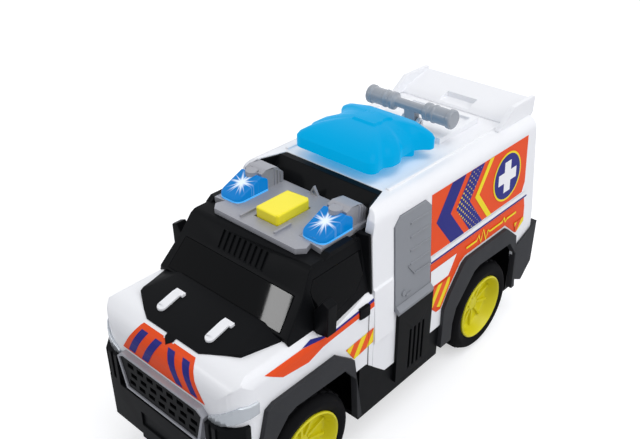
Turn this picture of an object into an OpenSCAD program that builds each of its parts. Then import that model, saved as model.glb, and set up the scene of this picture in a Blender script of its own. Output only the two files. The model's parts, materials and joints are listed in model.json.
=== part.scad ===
// Toy ambulance with a high off-road cab, a box body, a roof light dome and a folding lamp mast.
// Front is -Y, the vehicle's left side is +X, the ground is z = 0. Millimetres.

/* [Body] */
// Length over both bumpers
body_len = 300; // [285:1:330]
// Width of the box body at the sills
box_w = 112; // [106:1:124]
// Width of the box body under the roof edge
box_top_w = 103; // [96:1:106]
// Height of the roof above the ground
roof_z = 160; // [154:1:176]
// Radius of the long roof edges
roof_r = 8; // [4:0.5:10]
// Wall of the moulded shells
wall = 2.2; // [1.6:0.1:3]
// Thickness of the load floor
floor_t = 2; // [1.5:0.1:3]

/* [Cab] */
// Length of the cab from the nose to the box
cab_len = 112; // [104:1:120]
// Width of the cab over the doors
cab_w = 111; // [104:1:112]
// Height of the cab roof under the light bar
cab_roof_z = 146.5; // [140:0.5:150]
// Height of the fender tops
fender_z = 113; // [108:0.5:116]
// Height of the window sill at its rear end
belt_z = 113; // [110:0.5:116]
// Length of the hood ahead of the windshield
hood_len = 46; // [42:1:50]
// Radius of the fender edges
fender_r = 9; // [5:0.5:12]
// Radius of the nose corners seen from above
nose_corner_r = 14; // [8:1:18]
// Depth of the sloping fairing between the cab roof and the box roof
fairing_len = 26; // [20:1:32]

/* [Wheels] */
// Radius of the tyres
wheel_r = 34; // [31:0.5:35]
// Width of the tyres
wheel_w = 24; // [18:1:26]
// Radius of the rim flange
rim_r = 23.5; // [20:0.5:26]
// Depth of the rim dish behind the flange
rim_dish = 9; // [5:0.5:11]
// Number of ribs on a rim
rim_ribs = 10; // [5:1:14]
// Radius of the steel axles
axle_r = 2; // [1.5:0.1:2.5]
// Nose to front axle
front_overhang = 57; // [54:1:62]
// Rear axle to tail
rear_overhang = 66; // [60:1:72]
// How far the tyres stand out past the sills
wheel_out = 1; // [0:0.5:3]

/* [Roof] */
// Height of the top of the light dome
dome_top_z = 181.5; // [176:0.5:190]
// Length of the light dome
dome_len = 60; // [50:1:62]
// Width of the light dome across its front edge
dome_w = 58; // [48:1:64]
// Half length of the mast cross bar
mast_half = 33; // [26:1:38]
// Height of the mast cross bar axis above the roof
mast_rise = 16.7; // [15:0.1:24]
// Height of the spoiler wings above the roof
wing_rise = 12; // [8:0.5:16]

/* [Light bar and button] */
// Width of the yellow button
button_w = 17.2; // [12:0.2:20]
// Length of the yellow button
button_len = 26.5; // [20:0.5:28]
// How far the button stands out of the light bar
button_rise = 5.7; // [4:0.1:8]
// Stroke of the button
button_travel = 2; // [1:0.1:2.5]
// Distance of the lamps from the middle
lamp_x = 32.4; // [30:0.2:33]
// Width of a lamp lens
lamp_w = 17; // [12:0.5:18]

/* [Rear doors] */
// Width of the rear door opening
door_w = 86; // [76:1:88]
// Height of the rear door opening
door_h = 65; // [50:1:67]
// Thickness of a rear door
door_t = 2.8; // [2.2:0.1:3.4]
// Radius of the door hinge pins
door_pin_r = 0.8; // [0.6:0.1:1]

/* [Clearances] */
// Gap between a moving piece and the piece around it
move_gap = 0.4; // [0.3:0.05:0.8]
// Gap between fixed pieces that drop into each other
seat_gap = 0.15; // [0.1:0.05:0.3]
// Radial clearance of a pin or shaft that turns
run_gap = 0.06; // [0.02:0.01:0.1]
// Radial squeeze of a press fit
press = 0.02; // [0.01:0.01:0.04]

/* [Hidden] */
$fn = 48;

// Colours
white = "#f4f5f8";
black = "#1b1c1e";
gloss_black = "#111214";
dark_grey = "#3c3d40";
mid_grey = "#85878c";
silver_grey = "#a0a2a8";
blue = "#0a86d6";
cyan = "#00a6e0";
yellow = "#fdf036";
rim_yellow = "#e6df1e";

// Main places along the vehicle
nose_y = -body_len / 2;
tail_y = body_len / 2;
front_axle_y = nose_y + front_overhang;
rear_axle_y = tail_y - rear_overhang;
cab_end_y = nose_y + cab_len;
roof_front_y = cab_end_y + fairing_len;
glass_base_y = nose_y + hood_len;

// Cab outline
bumper_depth = 4;
bumper_low_z = 36;
nose_face_y = nose_y + bumper_depth;
cab_half = cab_w / 2;
cab_low_z = 64;
nose_round_y = 16;
nose_round_z = 14;
nose_break_z = fender_z - nose_round_z;
nose_top_y = nose_face_y + nose_round_y;
trim_z = fender_z - 27;
hood_edge_y = nose_face_y + 28;
dip_y = glass_base_y + 26;
dip_z = belt_z - 7;
crest_y = dip_y - 10;
hood_nose_y = nose_face_y + 8.7;
hood_nose_z = fender_z - 0.8;
hood_low_z = fender_z + 4.5;
reach = 90;

// Cab glass house
header_y = glass_base_y + 15.5;
header_z = cab_roof_z - 12.5;
brow_y = header_y + 6;
brow_z = cab_roof_z - 2.5;
bar_front_y = header_y + 11.5;
glass_low_half = cab_half - 2.5;
glass_top_half = glass_low_half - 7;
cowl_z = fender_z + 3;
hood_high_z = cowl_z + 2.5;
fairing_foot_y = roof_front_y - 14;
fairing_half = box_top_w / 2 - roof_r - 6;
notch_gap = 5.6;
fairing_front_half = lamp_x + lamp_w / 2 + notch_gap;
bulkhead_y = roof_front_y;
shoulder_h = 2.6;

// Box outline
box_half = box_w / 2;
box_mid_half = box_half - 0.5;
box_mid_z = 88;
box_top_half = box_top_w / 2;
box_low_z = 48;
tail_top_y = tail_y - 11.5;
tail_low_y = tail_y - 6;
rear_wall_y = tail_top_y - 4;
step_front_y = cab_end_y - 6;
step_rear_y = cab_end_y + 12;
step_z = cab_low_z - (cab_low_z - box_low_z) * (cab_end_y - step_front_y) / (step_rear_y - step_front_y);

// Wheels and chassis
wheel_x = box_half + wheel_out - wheel_w / 2;
wheel_in_x = wheel_x - wheel_w / 2;
chassis_half = wheel_in_x - 3;
pan_z = 24;
pan_t = 3;
pan_top_z = pan_z + pan_t;
bearing_len = 6;
arch_cover = 2.4;
sill_x = box_half - 0.6;
arch_gap = 3;
arch_r = wheel_r + arch_gap;
arch_top_z = wheel_r + arch_r + 6;
arch_low_z = pan_z + 6;
flare_x = box_half - wall;
front_lead = 6;
rear_lead = 15;
arch_tail = 6;
well_t = 0.35;
floor_z = arch_top_z + floor_t;

// Rear doors
door_low_z = floor_z + 1.5;
door_top_z = door_low_z + door_h;
door_half = door_w / 2;
door_y = rear_wall_y + door_t / 2 + 0.2;
door_barrel_r = door_t / 2 + 0.2;
door_pin_x = door_half - door_barrel_r - move_gap;
door_pin_seat = 2;

// Lockers on the box sides
locker_y0 = cab_end_y + 19;
locker_len = 35;
locker_low_z = box_mid_z;
locker_depth = 1;
locker_top_z = roof_z - roof_r - 2;

// Roof pieces
dome_y0 = roof_front_y - 1;
dome_low_z = roof_z + 7;
dome_rim = 10.5;
dome_wall = 2;
mast_y = roof_front_y + 75.7;
mast_z = roof_z + mast_rise;
mast_pivot_y = mast_y + 2.3;
mast_pivot_z = mast_z - 10.2;
mast_pin_r = 1;
mast_neck = 4;
mast_ear_t = 2.6;
mast_eye_r = 3;
tray_t = 4;
tray_half = 27;
tray_y0 = mast_y - 5;
tray_len = 44;
spoiler_y0 = tail_top_y - 26;
spoiler_rear_y = tail_y - 6.5;
wing_half = box_top_half - 6.5;

// Light bar
bar_t = 3.5;
bar_top_z = cab_roof_z + bar_t;
bar_rear_y = fairing_foot_y - seat_gap;
bar_half = box_top_half - 10;
lens_low_z = bar_top_z - 1;
led_r = 2.5;
cowl_half = lamp_w / 2 - 1.5;
button_y = bar_front_y + 23.3;
button_flange = 1.6;
flange_t = 1.8;
flange_low_z = cab_roof_z - move_gap - flange_t;
cowl_y0 = button_y + 8.5;
cowl_top_z = bar_top_z + 12;
finger_half = 4;
finger_y = button_y + 3.7;
finger_low_z = bar_top_z + 6.8;
led_y = button_y + 1;
bore_top_z = bar_top_z + 6;
board_z = cab_roof_z - 15;
board_t = 1.6;
switch_h = 4;
post_r = 2.4;

// Batteries under the load floor
battery_r = 5.2;
battery_len = 44.5;
battery_n = 3;
battery_pitch = 2 * battery_r + 0.8;
bay_half = battery_n * battery_pitch / 2 + 1;
bay_len = battery_len + 4;
bay_wall = 1.5;
bay_y = (front_axle_y + rear_axle_y) / 2 + 10;
contact_t = 0.6;
cover_t = 2;
cover_rim = 2;
battery_z = pan_z + cover_t + battery_r + 0.1;
boss_r = 4;
screw_r = 1.5;
screw_head_r = 2 * screw_r;
screw_head_h = 1.4;
boss_x = chassis_half - 5;
cover_lip = 9;
cover_screw_y = bay_y + bay_len / 2 + cover_lip / 2;
cover_boss_h = 5;
speaker_y = bay_y - bay_len / 2 - 34;
chassis_end_y = tail_low_y - 6;
boss_places = [cab_end_y + 33, rear_wall_y - boss_r - 0.6];

// Extrusions of outlines drawn on the side, front and plan views
module along_x(x0, x1) {
    translate([x0, 0, 0]) rotate([90, 0, 90]) linear_extrude(x1 - x0) children();
}

module along_y(y0, y1) {
    translate([0, y1, 0]) rotate([90, 0, 0]) linear_extrude(y1 - y0) children();
}

module along_z(z0, z1) {
    translate([0, 0, z0]) linear_extrude(z1 - z0) children();
}

module both_sides() {
    children();
    mirror([1, 0, 0]) children();
}

module block(x0, x1, y0, y1, z0, z1) {
    translate([x0, y0, z0]) cube([x1 - x0, y1 - y0, z1 - z0]);
}

module rod_x(r, x0, x1, y, z) {
    translate([x0, y, z]) rotate([0, 90, 0]) cylinder(r = r, h = x1 - x0);
}

module rod_z(r, z0, z1, x, y) {
    translate([x, y, z0]) cylinder(r = r, h = z1 - z0);
}

// Half outline on +X, mirrored to a closed outline
function sym(half) = concat(half, [for (i = [len(half) - 1:-1:0]) [-half[i][0], half[i][1]]]);

function arc(cx, cy, rx, ry, a0, a1, n) =
    [for (i = [0:n]) let (a = a0 + (a1 - a0) * i / n) [cx + rx * cos(a), cy + ry * sin(a)]];

// Cab outlines, inset by d
function cab_low(d) = d > 0 ? cab_low_z - 8 : cab_low_z;

function cab_side(d) = concat(
    [[nose_face_y + d, cab_low(d)]],
    [for (a = [0:15:90]) [nose_top_y - (nose_round_y - d) * cos(a),
        nose_break_z + (nose_round_z - d) * sin(a)]],
    [[crest_y, fender_z + 1 - d], [dip_y, dip_z - d], [cab_end_y - max(d, 0), belt_z - d],
     [cab_end_y - max(d, 0), step_z - cab_low_z + cab_low(d)], [step_front_y, cab_low(d)]]);

function cab_front(d) = concat(
    [[cab_half - d, cab_low(d) - 20]],
    arc(cab_half - fender_r, fender_z + 1 - fender_r, fender_r - d, fender_r - d, 0, 90, 5));

function cab_plan(d) = concat(
    [[cab_half - d, cab_end_y + 1]],
    arc(cab_half - nose_corner_r, nose_face_y + nose_corner_r, nose_corner_r - d, nose_corner_r - d,
        0, -90, 6));

module cab_solid(d) {
    intersection() {
        along_x(-reach, reach) polygon(cab_side(d));
        along_y(nose_y - reach, cab_end_y + reach) polygon(sym(cab_front(d)));
        along_z(0, roof_z) polygon(sym(cab_plan(d)));
    }
}

// Glass house outlines, inset by d
function house_side(d) = [
    [glass_base_y + d, cab_low_z], [glass_base_y + d, cowl_z], [header_y + d, header_z],
    [brow_y + d, brow_z], [bar_front_y - 2, cab_roof_z - d],
    [cab_end_y - max(d, 0), cab_roof_z - d], [cab_end_y - max(d, 0), cab_low_z]];

function house_front(d) = [
    [glass_low_half - d, cab_low_z], [glass_low_half - d, dip_z],
    [glass_top_half - d, cab_roof_z - 1 - d], [glass_top_half - 1 - d, cab_roof_z - d]];

module house_solid(d) {
    intersection() {
        along_x(-reach, reach) polygon(house_side(d));
        along_y(nose_y, cab_end_y) polygon(sym(house_front(d)));
    }
}

// Box outlines, inset by d
function box_section(d) = concat(
    [[box_half - d, box_low_z - 30], [box_half - d, box_low_z], [box_mid_half - d, box_mid_z]],
    arc(box_top_half - roof_r, roof_z - roof_r, roof_r - d, roof_r - d, 0, 90, 6));

function box_side() = [
    [cab_end_y, step_z], [step_rear_y, box_low_z], [tail_low_y, box_low_z],
    [tail_low_y, door_low_z - 3], [tail_top_y, roof_z], [cab_end_y + 7, roof_z],
    [cab_end_y + 2.5, roof_z - 5], [cab_end_y, roof_z - 14]];

module box_solid() {
    intersection() {
        along_y(cab_end_y - 1, tail_y) polygon(sym(box_section(0)));
        along_x(-reach, reach) polygon(box_side());
    }
}

// X of the box side wall at height z
function side_x(z) = z < box_mid_z ?
    box_half + (box_mid_half - box_half) * (z - box_low_z) / (box_mid_z - box_low_z) :
    box_mid_half + (box_top_half - box_mid_half) * (z - box_mid_z) / (roof_z - roof_r - box_mid_z);

// Eight-sided wheel arch, t = 0 at the opening and 1 at the outer edge of the flare.
// lead is the width of the flare's front leg.
function arch_inner() = [[-arch_r - 3, arch_low_z], [-arch_r - 3, wheel_r + 10],
    [-arch_r, wheel_r + 21], [-arch_r / 2, arch_top_z - 2], [-arch_r / 3, arch_top_z],
    [arch_r * 0.73, arch_top_z - 2], [arch_r, arch_top_z - 15], [arch_r + 2, arch_low_z]];

function arch_outer(lead) = [[-arch_r - lead, arch_low_z], [-arch_r - lead, wheel_r + 28],
    [-arch_r - lead + 6, wheel_r + 38], [-arch_r + 4, arch_top_z + 11],
    [-arch_r + 9, arch_top_z + 13], [arch_r * 0.55, arch_top_z + 13], [arch_r - 2, arch_top_z + 1],
    [arch_r + arch_tail, arch_low_z]];

function arch(t, y, lead) = let (a = arch_inner(), b = arch_outer(lead))
    [for (i = [0:len(a) - 1]) [y, 0] + a[i] * (1 - t) + b[i] * t];

// Arch outline carried down past the bottom of the body
function arch_cut(t, y, lead) = let (a = arch(t, y, lead))
    concat(a, [[a[len(a) - 1][0], -1], [a[0][0], -1]]);

module wheel_wells() {
    both_sides() along_x(chassis_half + 1, reach) {
        polygon(arch_cut(well_t, front_axle_y, front_lead));
        polygon(arch_cut(well_t, rear_axle_y, rear_lead));
    }
}

// Fixed body pieces
module chassis() {
    front_gap_y = front_axle_y + arch_r + arch_tail + seat_gap;
    rear_gap_y = rear_axle_y - arch_r - rear_lead - seat_gap;
    rear_pan_y = rear_axle_y + arch_r + 3;
    sill_in = sill_x - 5;
    liner_t = 2;
    vent_r = 1.2;
    vent_ring = 7;
    sill = [[front_gap_y, pan_z], [front_gap_y, cab_low_z], [step_front_y, cab_low_z],
        [step_rear_y, box_low_z], [rear_gap_y, box_low_z], [rear_gap_y, pan_z]];
    color(black) difference() {
        union() {
            block(-chassis_half, chassis_half, nose_face_y + 1, chassis_end_y, pan_z, pan_top_z);
            block(-chassis_half, chassis_half, nose_face_y + 1, nose_face_y + 1 + pan_t, pan_z, bumper_low_z);
            block(-sill_in, sill_in, front_gap_y, rear_gap_y, pan_z, pan_top_z);
            block(-box_half + 4, box_half - 4, rear_pan_y, chassis_end_y, pan_z, pan_top_z);
            both_sides() along_x(sill_in - 0.1, sill_x) polygon(sill);
            both_sides() block(chassis_half - 0.1, flare_x - 1, rear_pan_y, rear_pan_y + liner_t,
                pan_top_z - 0.1, floor_z - floor_t - 1);
            for (y = [front_axle_y, rear_axle_y]) both_sides() {
                block(chassis_half - bearing_len, chassis_half, y - bearing_len, y + bearing_len,
                    pan_top_z - 0.1, wheel_r + bearing_len);
                block(chassis_half - liner_t, chassis_half, y - arch_r, y + arch_r, pan_top_z - 0.1,
                    floor_z - floor_t - 1);
            }
            block(-bay_half - bay_wall, bay_half + bay_wall, bay_y - bay_len / 2 - bay_wall,
                bay_y + bay_len / 2 + bay_wall, pan_top_z - 0.1, pan_top_z + 2 * battery_r);
            rod_z(boss_r, pan_top_z - 0.1, pan_top_z + cover_boss_h, 0, cover_screw_y);
        }
        cover_plate(seat_gap, pan_z - 1, pan_z + cover_t);
        block(-bay_half, bay_half, bay_y - bay_len / 2, bay_y + bay_len / 2, pan_z - 1,
            pan_top_z + 2 * battery_r + 1);
        for (y = [front_axle_y, rear_axle_y])
            rod_x(axle_r + run_gap, -reach, reach, y, wheel_r);
        for (y = boss_places) both_sides() {
            rod_z(screw_r + seat_gap, pan_z - 1, pan_top_z + 1, boss_x, y);
            rod_z(screw_head_r + seat_gap, pan_z - 1, pan_z + screw_head_h, boss_x, y);
        }
        rod_z(screw_r, pan_z - 1, pan_top_z + cover_boss_h + 1, 0, cover_screw_y);
        for (a = [0:45:315])
            rod_z(vent_r, pan_z - 1, pan_top_z + 1, vent_ring * cos(a), speaker_y + vent_ring * sin(a));
    }
}

module cab_shell() {
    color(white) difference() {
        cab_solid(0);
        cab_solid(wall);
        along_z(dip_z - 8, roof_z) polygon(sym([[glass_low_half - 6, cab_end_y + 1],
            [glass_low_half - 6, glass_base_y + 4]]));
        wheel_wells();
    }
}

module cab_upper() {
    slot_n = 9;
    slot_pitch = 4.2;
    slot_w = 2;
    slot_depth = 1.5;
    slot = [[header_y - 3, header_z + 0.5], [header_y + slot_depth, header_z + 0.5],
        [brow_y + slot_depth, brow_z], [brow_y - 3, brow_z]];
    shoulder = [[bar_front_y + 6, cab_roof_z - 0.5], [bar_front_y + 10, cab_roof_z + shoulder_h],
        [cab_end_y - 10, cab_roof_z + shoulder_h], [cab_end_y - 6, cab_roof_z - 0.5]];
    color(black) difference() {
        union() {
            difference() {
                house_solid(0);
                cab_solid(0);
                house_solid(wall);
            }
            fairing();
            rear_posts();
            both_sides() along_x(bar_half + 0.6, glass_top_half + 0.5) polygon(shoulder);
            both_sides() rod_z(post_r, board_z + board_t, cab_roof_z - 1, bar_half / 2, button_y);
        }
        windshield_prism(0);
        both_sides() side_window_prism(0);
        for (i = [0:slot_n - 1]) let (x = (i - (slot_n - 1) / 2) * slot_pitch)
            along_x(x - slot_w / 2, x + slot_w / 2) polygon(slot);
        button_well(button_flange + 1, cab_roof_z - wall - 3, cab_roof_z + 1);
    }
}

// Black posts behind the side windows, flush with the box sides
module rear_posts() {
    top_z = cab_roof_z + shoulder_h;
    post_d = 3.6;
    plan = [[glass_top_half - 3, cab_end_y - post_d], [glass_top_half, cab_end_y - post_d],
        [box_half, cab_end_y - 1], [box_half, cab_end_y - seat_gap],
        [glass_top_half - 3, cab_end_y - seat_gap]];
    difference() {
        intersection() {
            along_y(cab_end_y - 12, cab_end_y) polygon(sym(box_section(0.6)));
            both_sides() along_z(dip_z, top_z) polygon(plan);
        }
        cab_solid(0);
        house_solid(wall);
    }
}

// Slanted black fairing that fills the notch in front of the box roof
module fairing() {
    drop = 14;
    outline = [[cab_end_y, cab_roof_z - drop], [cab_end_y, cab_roof_z], [fairing_foot_y, cab_roof_z],
        [roof_front_y - 5, roof_z - 0.4], [roof_front_y - seat_gap, roof_z - 0.2],
        [roof_front_y - seat_gap, cab_roof_z - drop]];
    hollow = [[cab_end_y - 1, cab_roof_z - drop - 1], [cab_end_y - 1, cab_roof_z - wall],
        [fairing_foot_y + 1, cab_roof_z - wall], [roof_front_y - 5, roof_z - wall - 1],
        [roof_front_y - wall, roof_z - wall - 1], [roof_front_y - wall, cab_roof_z - drop - 1]];
    cheek_t = 1.4;
    cheek = [[cab_end_y + 6, cab_roof_z - 1], [cab_end_y + 6, roof_z - 4], [cab_end_y + 9, roof_z - 0.6],
        [roof_front_y - 4, roof_z - 0.6], [roof_front_y - 4, cab_roof_z - 1]];
    intersection() {
        along_x(-reach, reach) polygon(cheek);
        difference() {
            along_z(0, roof_z + 5) polygon(fairing_plan(seat_gap));
            along_z(-1, roof_z + 6) polygon(fairing_plan(seat_gap + cheek_t));
        }
    }
    difference() {
        intersection() {
            along_x(-reach, reach) polygon(outline);
            along_z(0, roof_z + 5) polygon(fairing_plan(seat_gap));
        }
        intersection() {
            along_x(-reach, reach) polygon(hollow);
            along_z(0, roof_z + 5) polygon(fairing_plan(wall + seat_gap));
        }
    }
}

function fairing_plan(d) = sym([[fairing_front_half - d, cab_end_y - 2],
    [fairing_half - d, roof_front_y + 0.01]]);

module windshield_prism(d) {
    depth = 1.4;
    strip = [[glass_base_y + depth, cowl_z], [glass_base_y - 4, cowl_z], [header_y - 4, header_z],
        [header_y + depth, header_z]];
    intersection() {
        along_x(-reach, reach) polygon(strip);
        along_y(nose_y, cab_end_y) polygon(sym([[glass_low_half - 8 - d, cowl_z + 1 + d],
            [glass_top_half - 3 - d, header_z - 1.5 - d]]));
    }
}

module windshield() {
    color(gloss_black) intersection() {
        windshield_prism(seat_gap);
        house_solid(0);
    }
}

module side_window_prism(d) {
    depth = 1.2;
    skin = [[glass_low_half + 4, dip_z], [glass_top_half + 4, cab_roof_z - 1],
        [glass_top_half - depth, cab_roof_z - 1], [glass_low_half - depth, dip_z]];
    pane = [[dip_y - 2 + d, dip_z + 6 + d], [header_y + 5 + d, header_z + d],
        [header_y + 8 + d, cab_roof_z - 7 - d], [cab_end_y - 4 - d, cab_roof_z - 7 - d],
        [cab_end_y - 4 - d, belt_z + 12 + d], [cab_end_y - 12 - d, belt_z + 4 + d]];
    intersection() {
        along_y(nose_y, cab_end_y) polygon(skin);
        along_x(0, reach) polygon(pane);
    }
}

module side_window() {
    color(gloss_black) intersection() {
        side_window_prism(seat_gap);
        house_solid(0);
    }
}

module side_window_left() {
    side_window();
}

module side_window_right() {
    mirror([1, 0, 0]) side_window();
}

// Black hood insert with its notch at the nose
module hood_panel() {
    nose = hood_nose_y;
    plan = sym([[0.01, nose - 4.5], [3.5, nose - 2], [3.5, nose], [21, nose], [28, nose + 3.5],
        [cab_half - 15, nose + 11], [cab_half - 8, glass_base_y + 1]]);
    side = [[nose - 7, nose_break_z], [nose - 7, fender_z - 5], [nose, hood_nose_z],
        [hood_edge_y, hood_low_z], [glass_base_y + 1, hood_high_z], [glass_base_y + 1, nose_break_z]];
    crown = sym([[cab_half, nose_break_z], [cab_half, fender_z + 0.5], [cab_half - 12, fender_z + 2.2],
        [30, hood_high_z + 1]]);
    color(black) difference() {
        intersection() {
            along_x(-reach, reach) polygon(side);
            along_y(nose_y, cab_end_y) polygon(crown);
            along_z(nose_break_z, roof_z) polygon(plan);
        }
        cab_solid(0);
        house_solid(0);
    }
}

// Height of the hood insert at y
function hood_top(y) = hood_low_z +
    (hood_high_z - hood_low_z) * (y - hood_edge_y) / (glass_base_y - hood_edge_y);

module hood_tabs() {
    tab_x = 19.5;
    tab_w = 6;
    tab_t = 1.6;
    tab_len = 16;
    y1 = hood_edge_y + 3.5;
    y0 = y1 - tab_len;
    slope_z = hood_low_z - (hood_low_z - hood_nose_z) * (hood_edge_y - y0) / (hood_edge_y - hood_nose_y);
    side = [[y0, slope_z], [y0, slope_z + tab_t], [hood_edge_y, hood_low_z + tab_t],
        [y1, hood_top(y1) + tab_t], [y1, hood_top(y1)], [hood_edge_y, hood_low_z]];
    color(white) for (s = [-1, 1]) intersection() {
        along_x(-reach, reach) polygon(side);
        translate([s * tab_x, 0, 0]) union() {
            block(-tab_w / 2, tab_w / 2, y0 + tab_w / 2, y1, nose_break_z, roof_z);
            rod_z(tab_w / 2, nose_break_z, roof_z, 0, y0 + tab_w / 2);
            block(0, tab_w / 2 + 1.5, y1 - 3, y1, nose_break_z, roof_z);
        }
    }
}

// Nose trim
grille_top_z = trim_z + 4;
grille_low_z = cab_low_z + 1;
grille_half = 36;
grille_low_half = 31;
grille_t = 3;
frame_w = 1.6;

function grille_outline(d) = sym([[grille_low_half - d, grille_low_z + d],
    [grille_half - d, grille_top_z - 4], [grille_half - 4 - d, grille_top_z - d]]);

module grille() {
    slot_n = 7;
    slot_pitch = 8.4;
    slot_half = 2.6;
    slot_h = 3;
    row_pitch = 6;
    front_y = nose_face_y - grille_t;
    color(black) difference() {
        along_y(front_y, nose_face_y + 2) polygon(grille_outline(frame_w + seat_gap));
        cab_solid(0);
        for (row = [0:2], i = [0:slot_n - 1])
            let (x = (i - (slot_n - 1) / 2 + (row % 2) / 4) * slot_pitch)
            let (z = grille_low_z + 5 + row * row_pitch)
                block(x - slot_half, x + slot_half, front_y - 1, nose_face_y - 1.2, z, z + slot_h);
    }
}

module grille_frame() {
    front_y = nose_face_y - grille_t - 0.8;
    color(silver_grey) difference() {
        along_y(front_y, nose_face_y + 2) polygon(grille_outline(0));
        along_y(front_y - 1, nose_face_y + 3) polygon(grille_outline(frame_w));
        cab_solid(0);
    }
}

module headlight() {
    lens_t = 1.4;
    z0 = trim_z;
    outline = [[grille_half + 1, z0 + 1], [cab_half - 2, z0 + 12], [cab_half + 3, z0 + 10],
        [cab_half + 3, z0 + 4], [grille_half + 2, z0 - 4]];
    color("#d8dde2") intersection() {
        difference() {
            cab_solid(-lens_t);
            cab_solid(0);
        }
        along_y(nose_y - 10, nose_face_y + 16) polygon(outline);
    }
}

module headlight_left() {
    headlight();
}

module headlight_right() {
    mirror([1, 0, 0]) headlight();
}

module front_bumper() {
    low_z = bumper_low_z;
    top_z = cab_low_z - seat_gap;
    horn_z = trim_z - 1;
    horn_x = grille_half + 1;
    end_y = front_axle_y - arch_r - front_lead - seat_gap;
    half = box_half + 0.6;
    corner = 10;
    t = 5;
    outer = [[half, end_y], [half, nose_y + corner], [half - corner, nose_y]];
    inner = [[half - t, end_y + 1], [half - t, nose_y + corner + 2], [half - corner - 2, nose_y + t]];
    color(black) difference() {
        union() {
            difference() {
                along_z(low_z, top_z) polygon(sym(outer));
                along_z(low_z + t, top_z + 1) polygon(sym(inner));
            }
            both_sides() along_z(top_z - t, horn_z) polygon(concat(outer, [[horn_x, nose_y],
                [horn_x, nose_y + t], [half - corner - 2, nose_y + t], [half - t, end_y]]));
        }
        cab_solid(0);
        both_sides() headlight();
        block(-20, 20, nose_y - 1, nose_y + 1.2, low_z + 8, low_z + 18);
        for (i = [0:2]) both_sides()
            block(horn_x + 3 + 5 * i, horn_x + 5 + 5 * i, nose_y - 1, nose_y + 1, top_z + 3, horn_z + 1);
    }
}

// White box body with its roof, bulkhead and rear door frame
module box_shell() {
    rail_x = wing_half - 7;
    rail_w = 2.4;
    rail_h = 1.2;
    pad_low_z = 75;
    pad_top_z = 114;
    pad_t = 1.3;
    front_hollow = [[box_half - wall, 0], [box_half - wall, box_low_z], [box_mid_half - wall, box_mid_z],
        [box_top_half - wall - 0.4, cab_roof_z - 15]];
    pad = [[side_x(pad_low_z) - 1, pad_low_z], [side_x(pad_low_z) + pad_t, pad_low_z + 1],
        [side_x(pad_top_z) + pad_t, pad_top_z - 1], [side_x(pad_top_z) - 1, pad_top_z]];
    pillar_cut = [[fairing_front_half, cab_end_y - 2], [fairing_front_half - 2, cab_end_y + 6]];
    color(white) difference() {
        union() {
            box_solid();
            both_sides() block(rail_x, rail_x + rail_w, roof_front_y + 2, tray_y0 + tray_len, roof_z - 0.5,
                roof_z + rail_h);
            both_sides() along_y(cab_end_y, locker_y0 - 1.5) polygon(pad);
        }
        along_y(bulkhead_y + wall, rear_wall_y) polygon(sym(box_section(wall)));
        along_y(cab_end_y - 2, bulkhead_y + 0.01) polygon(sym(front_hollow));
        along_z(cab_low_z, roof_z + 5) polygon(fairing_plan(0));
        along_z(cab_low_z, roof_z + 5) polygon(sym(pillar_cut));
        block(-door_half, door_half, rear_wall_y - 1, tail_y, door_low_z, door_top_z);
        block(-box_half + wall + 1, box_half - wall - 1, rear_wall_y - 1, tail_low_y - wall, 0,
            door_low_z - 5);
        wheel_wells();
        both_sides() door_pin_rod();
        both_sides() locker_cut();
    }
}

module door_pin_rod() {
    rod_z(door_pin_r, door_low_z - door_pin_seat, door_top_z + door_pin_seat, door_pin_x, door_y);
}

module load_floor() {
    half = box_mid_half - wall - seat_gap;
    y0 = bulkhead_y + wall + seat_gap;
    y1 = rear_wall_y - seat_gap;
    color(mid_grey) difference() {
        union() {
            block(-half, half, y0, y1, floor_z - floor_t, floor_z);
            for (y = boss_places) both_sides()
                rod_z(boss_r, pan_top_z, floor_z - floor_t + 0.1, boss_x, y);
        }
        for (y = boss_places) both_sides()
            rod_z(screw_r - press, pan_top_z - 1, pan_top_z + 12, boss_x, y);
    }
}

module roof_spoiler() {
    wing_t = 3;
    ramp = [[spoiler_y0, roof_z - 3], [spoiler_y0, roof_z + 0.6], [spoiler_y0 + 4, roof_z + 4],
        [spoiler_rear_y, roof_z + wing_rise - 2], [spoiler_rear_y, roof_z + 2], [tail_top_y, roof_z - 3]];
    wing = [[spoiler_y0 - 14, roof_z - 4], [spoiler_y0 - 14, roof_z + 0.4],
        [spoiler_y0 + 4, roof_z + wing_rise], [spoiler_rear_y, roof_z + wing_rise],
        [spoiler_rear_y, roof_z + 1], [tail_top_y, roof_z - 4]];
    color(white) difference() {
        union() {
            difference() {
                along_x(-wing_half + 1, wing_half - 1) polygon(ramp);
                block(-12, 12, spoiler_y0 - 1, spoiler_y0 + 12, roof_z + 2, roof_z + wing_rise);
            }
            both_sides() along_x(wing_half - wing_t, wing_half) polygon(wing);
        }
        box_solid();
    }
}

module mast_base() {
    ear_in = mast_neck + move_gap;
    color(white) difference() {
        union() {
            block(-tray_half, tray_half, tray_y0, tray_y0 + tray_len, roof_z, roof_z + tray_t);
            both_sides() along_x(ear_in, ear_in + mast_ear_t) union() {
                translate([mast_pivot_y, mast_pivot_z]) circle(r = mast_eye_r);
                translate([mast_pivot_y - mast_eye_r, roof_z + 1])
                    square([2 * mast_eye_r, mast_pivot_z - roof_z - 1]);
            }
        }
        block(-tray_half + 4, tray_half - 4, mast_y + 13, tray_y0 + tray_len - 4, roof_z + 2,
            roof_z + tray_t + 1);
        rod_x(mast_pin_r, -reach, reach, mast_pivot_y, mast_pivot_z);
        rod_x(mast_eye_r + 1.2, -ear_in, ear_in, mast_pivot_y, mast_pivot_z);
    }
}

module mast_pin() {
    half = mast_neck + move_gap + mast_ear_t + 0.6;
    color("silver") rod_x(mast_pin_r, -half, half, mast_pivot_y, mast_pivot_z);
}

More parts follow.
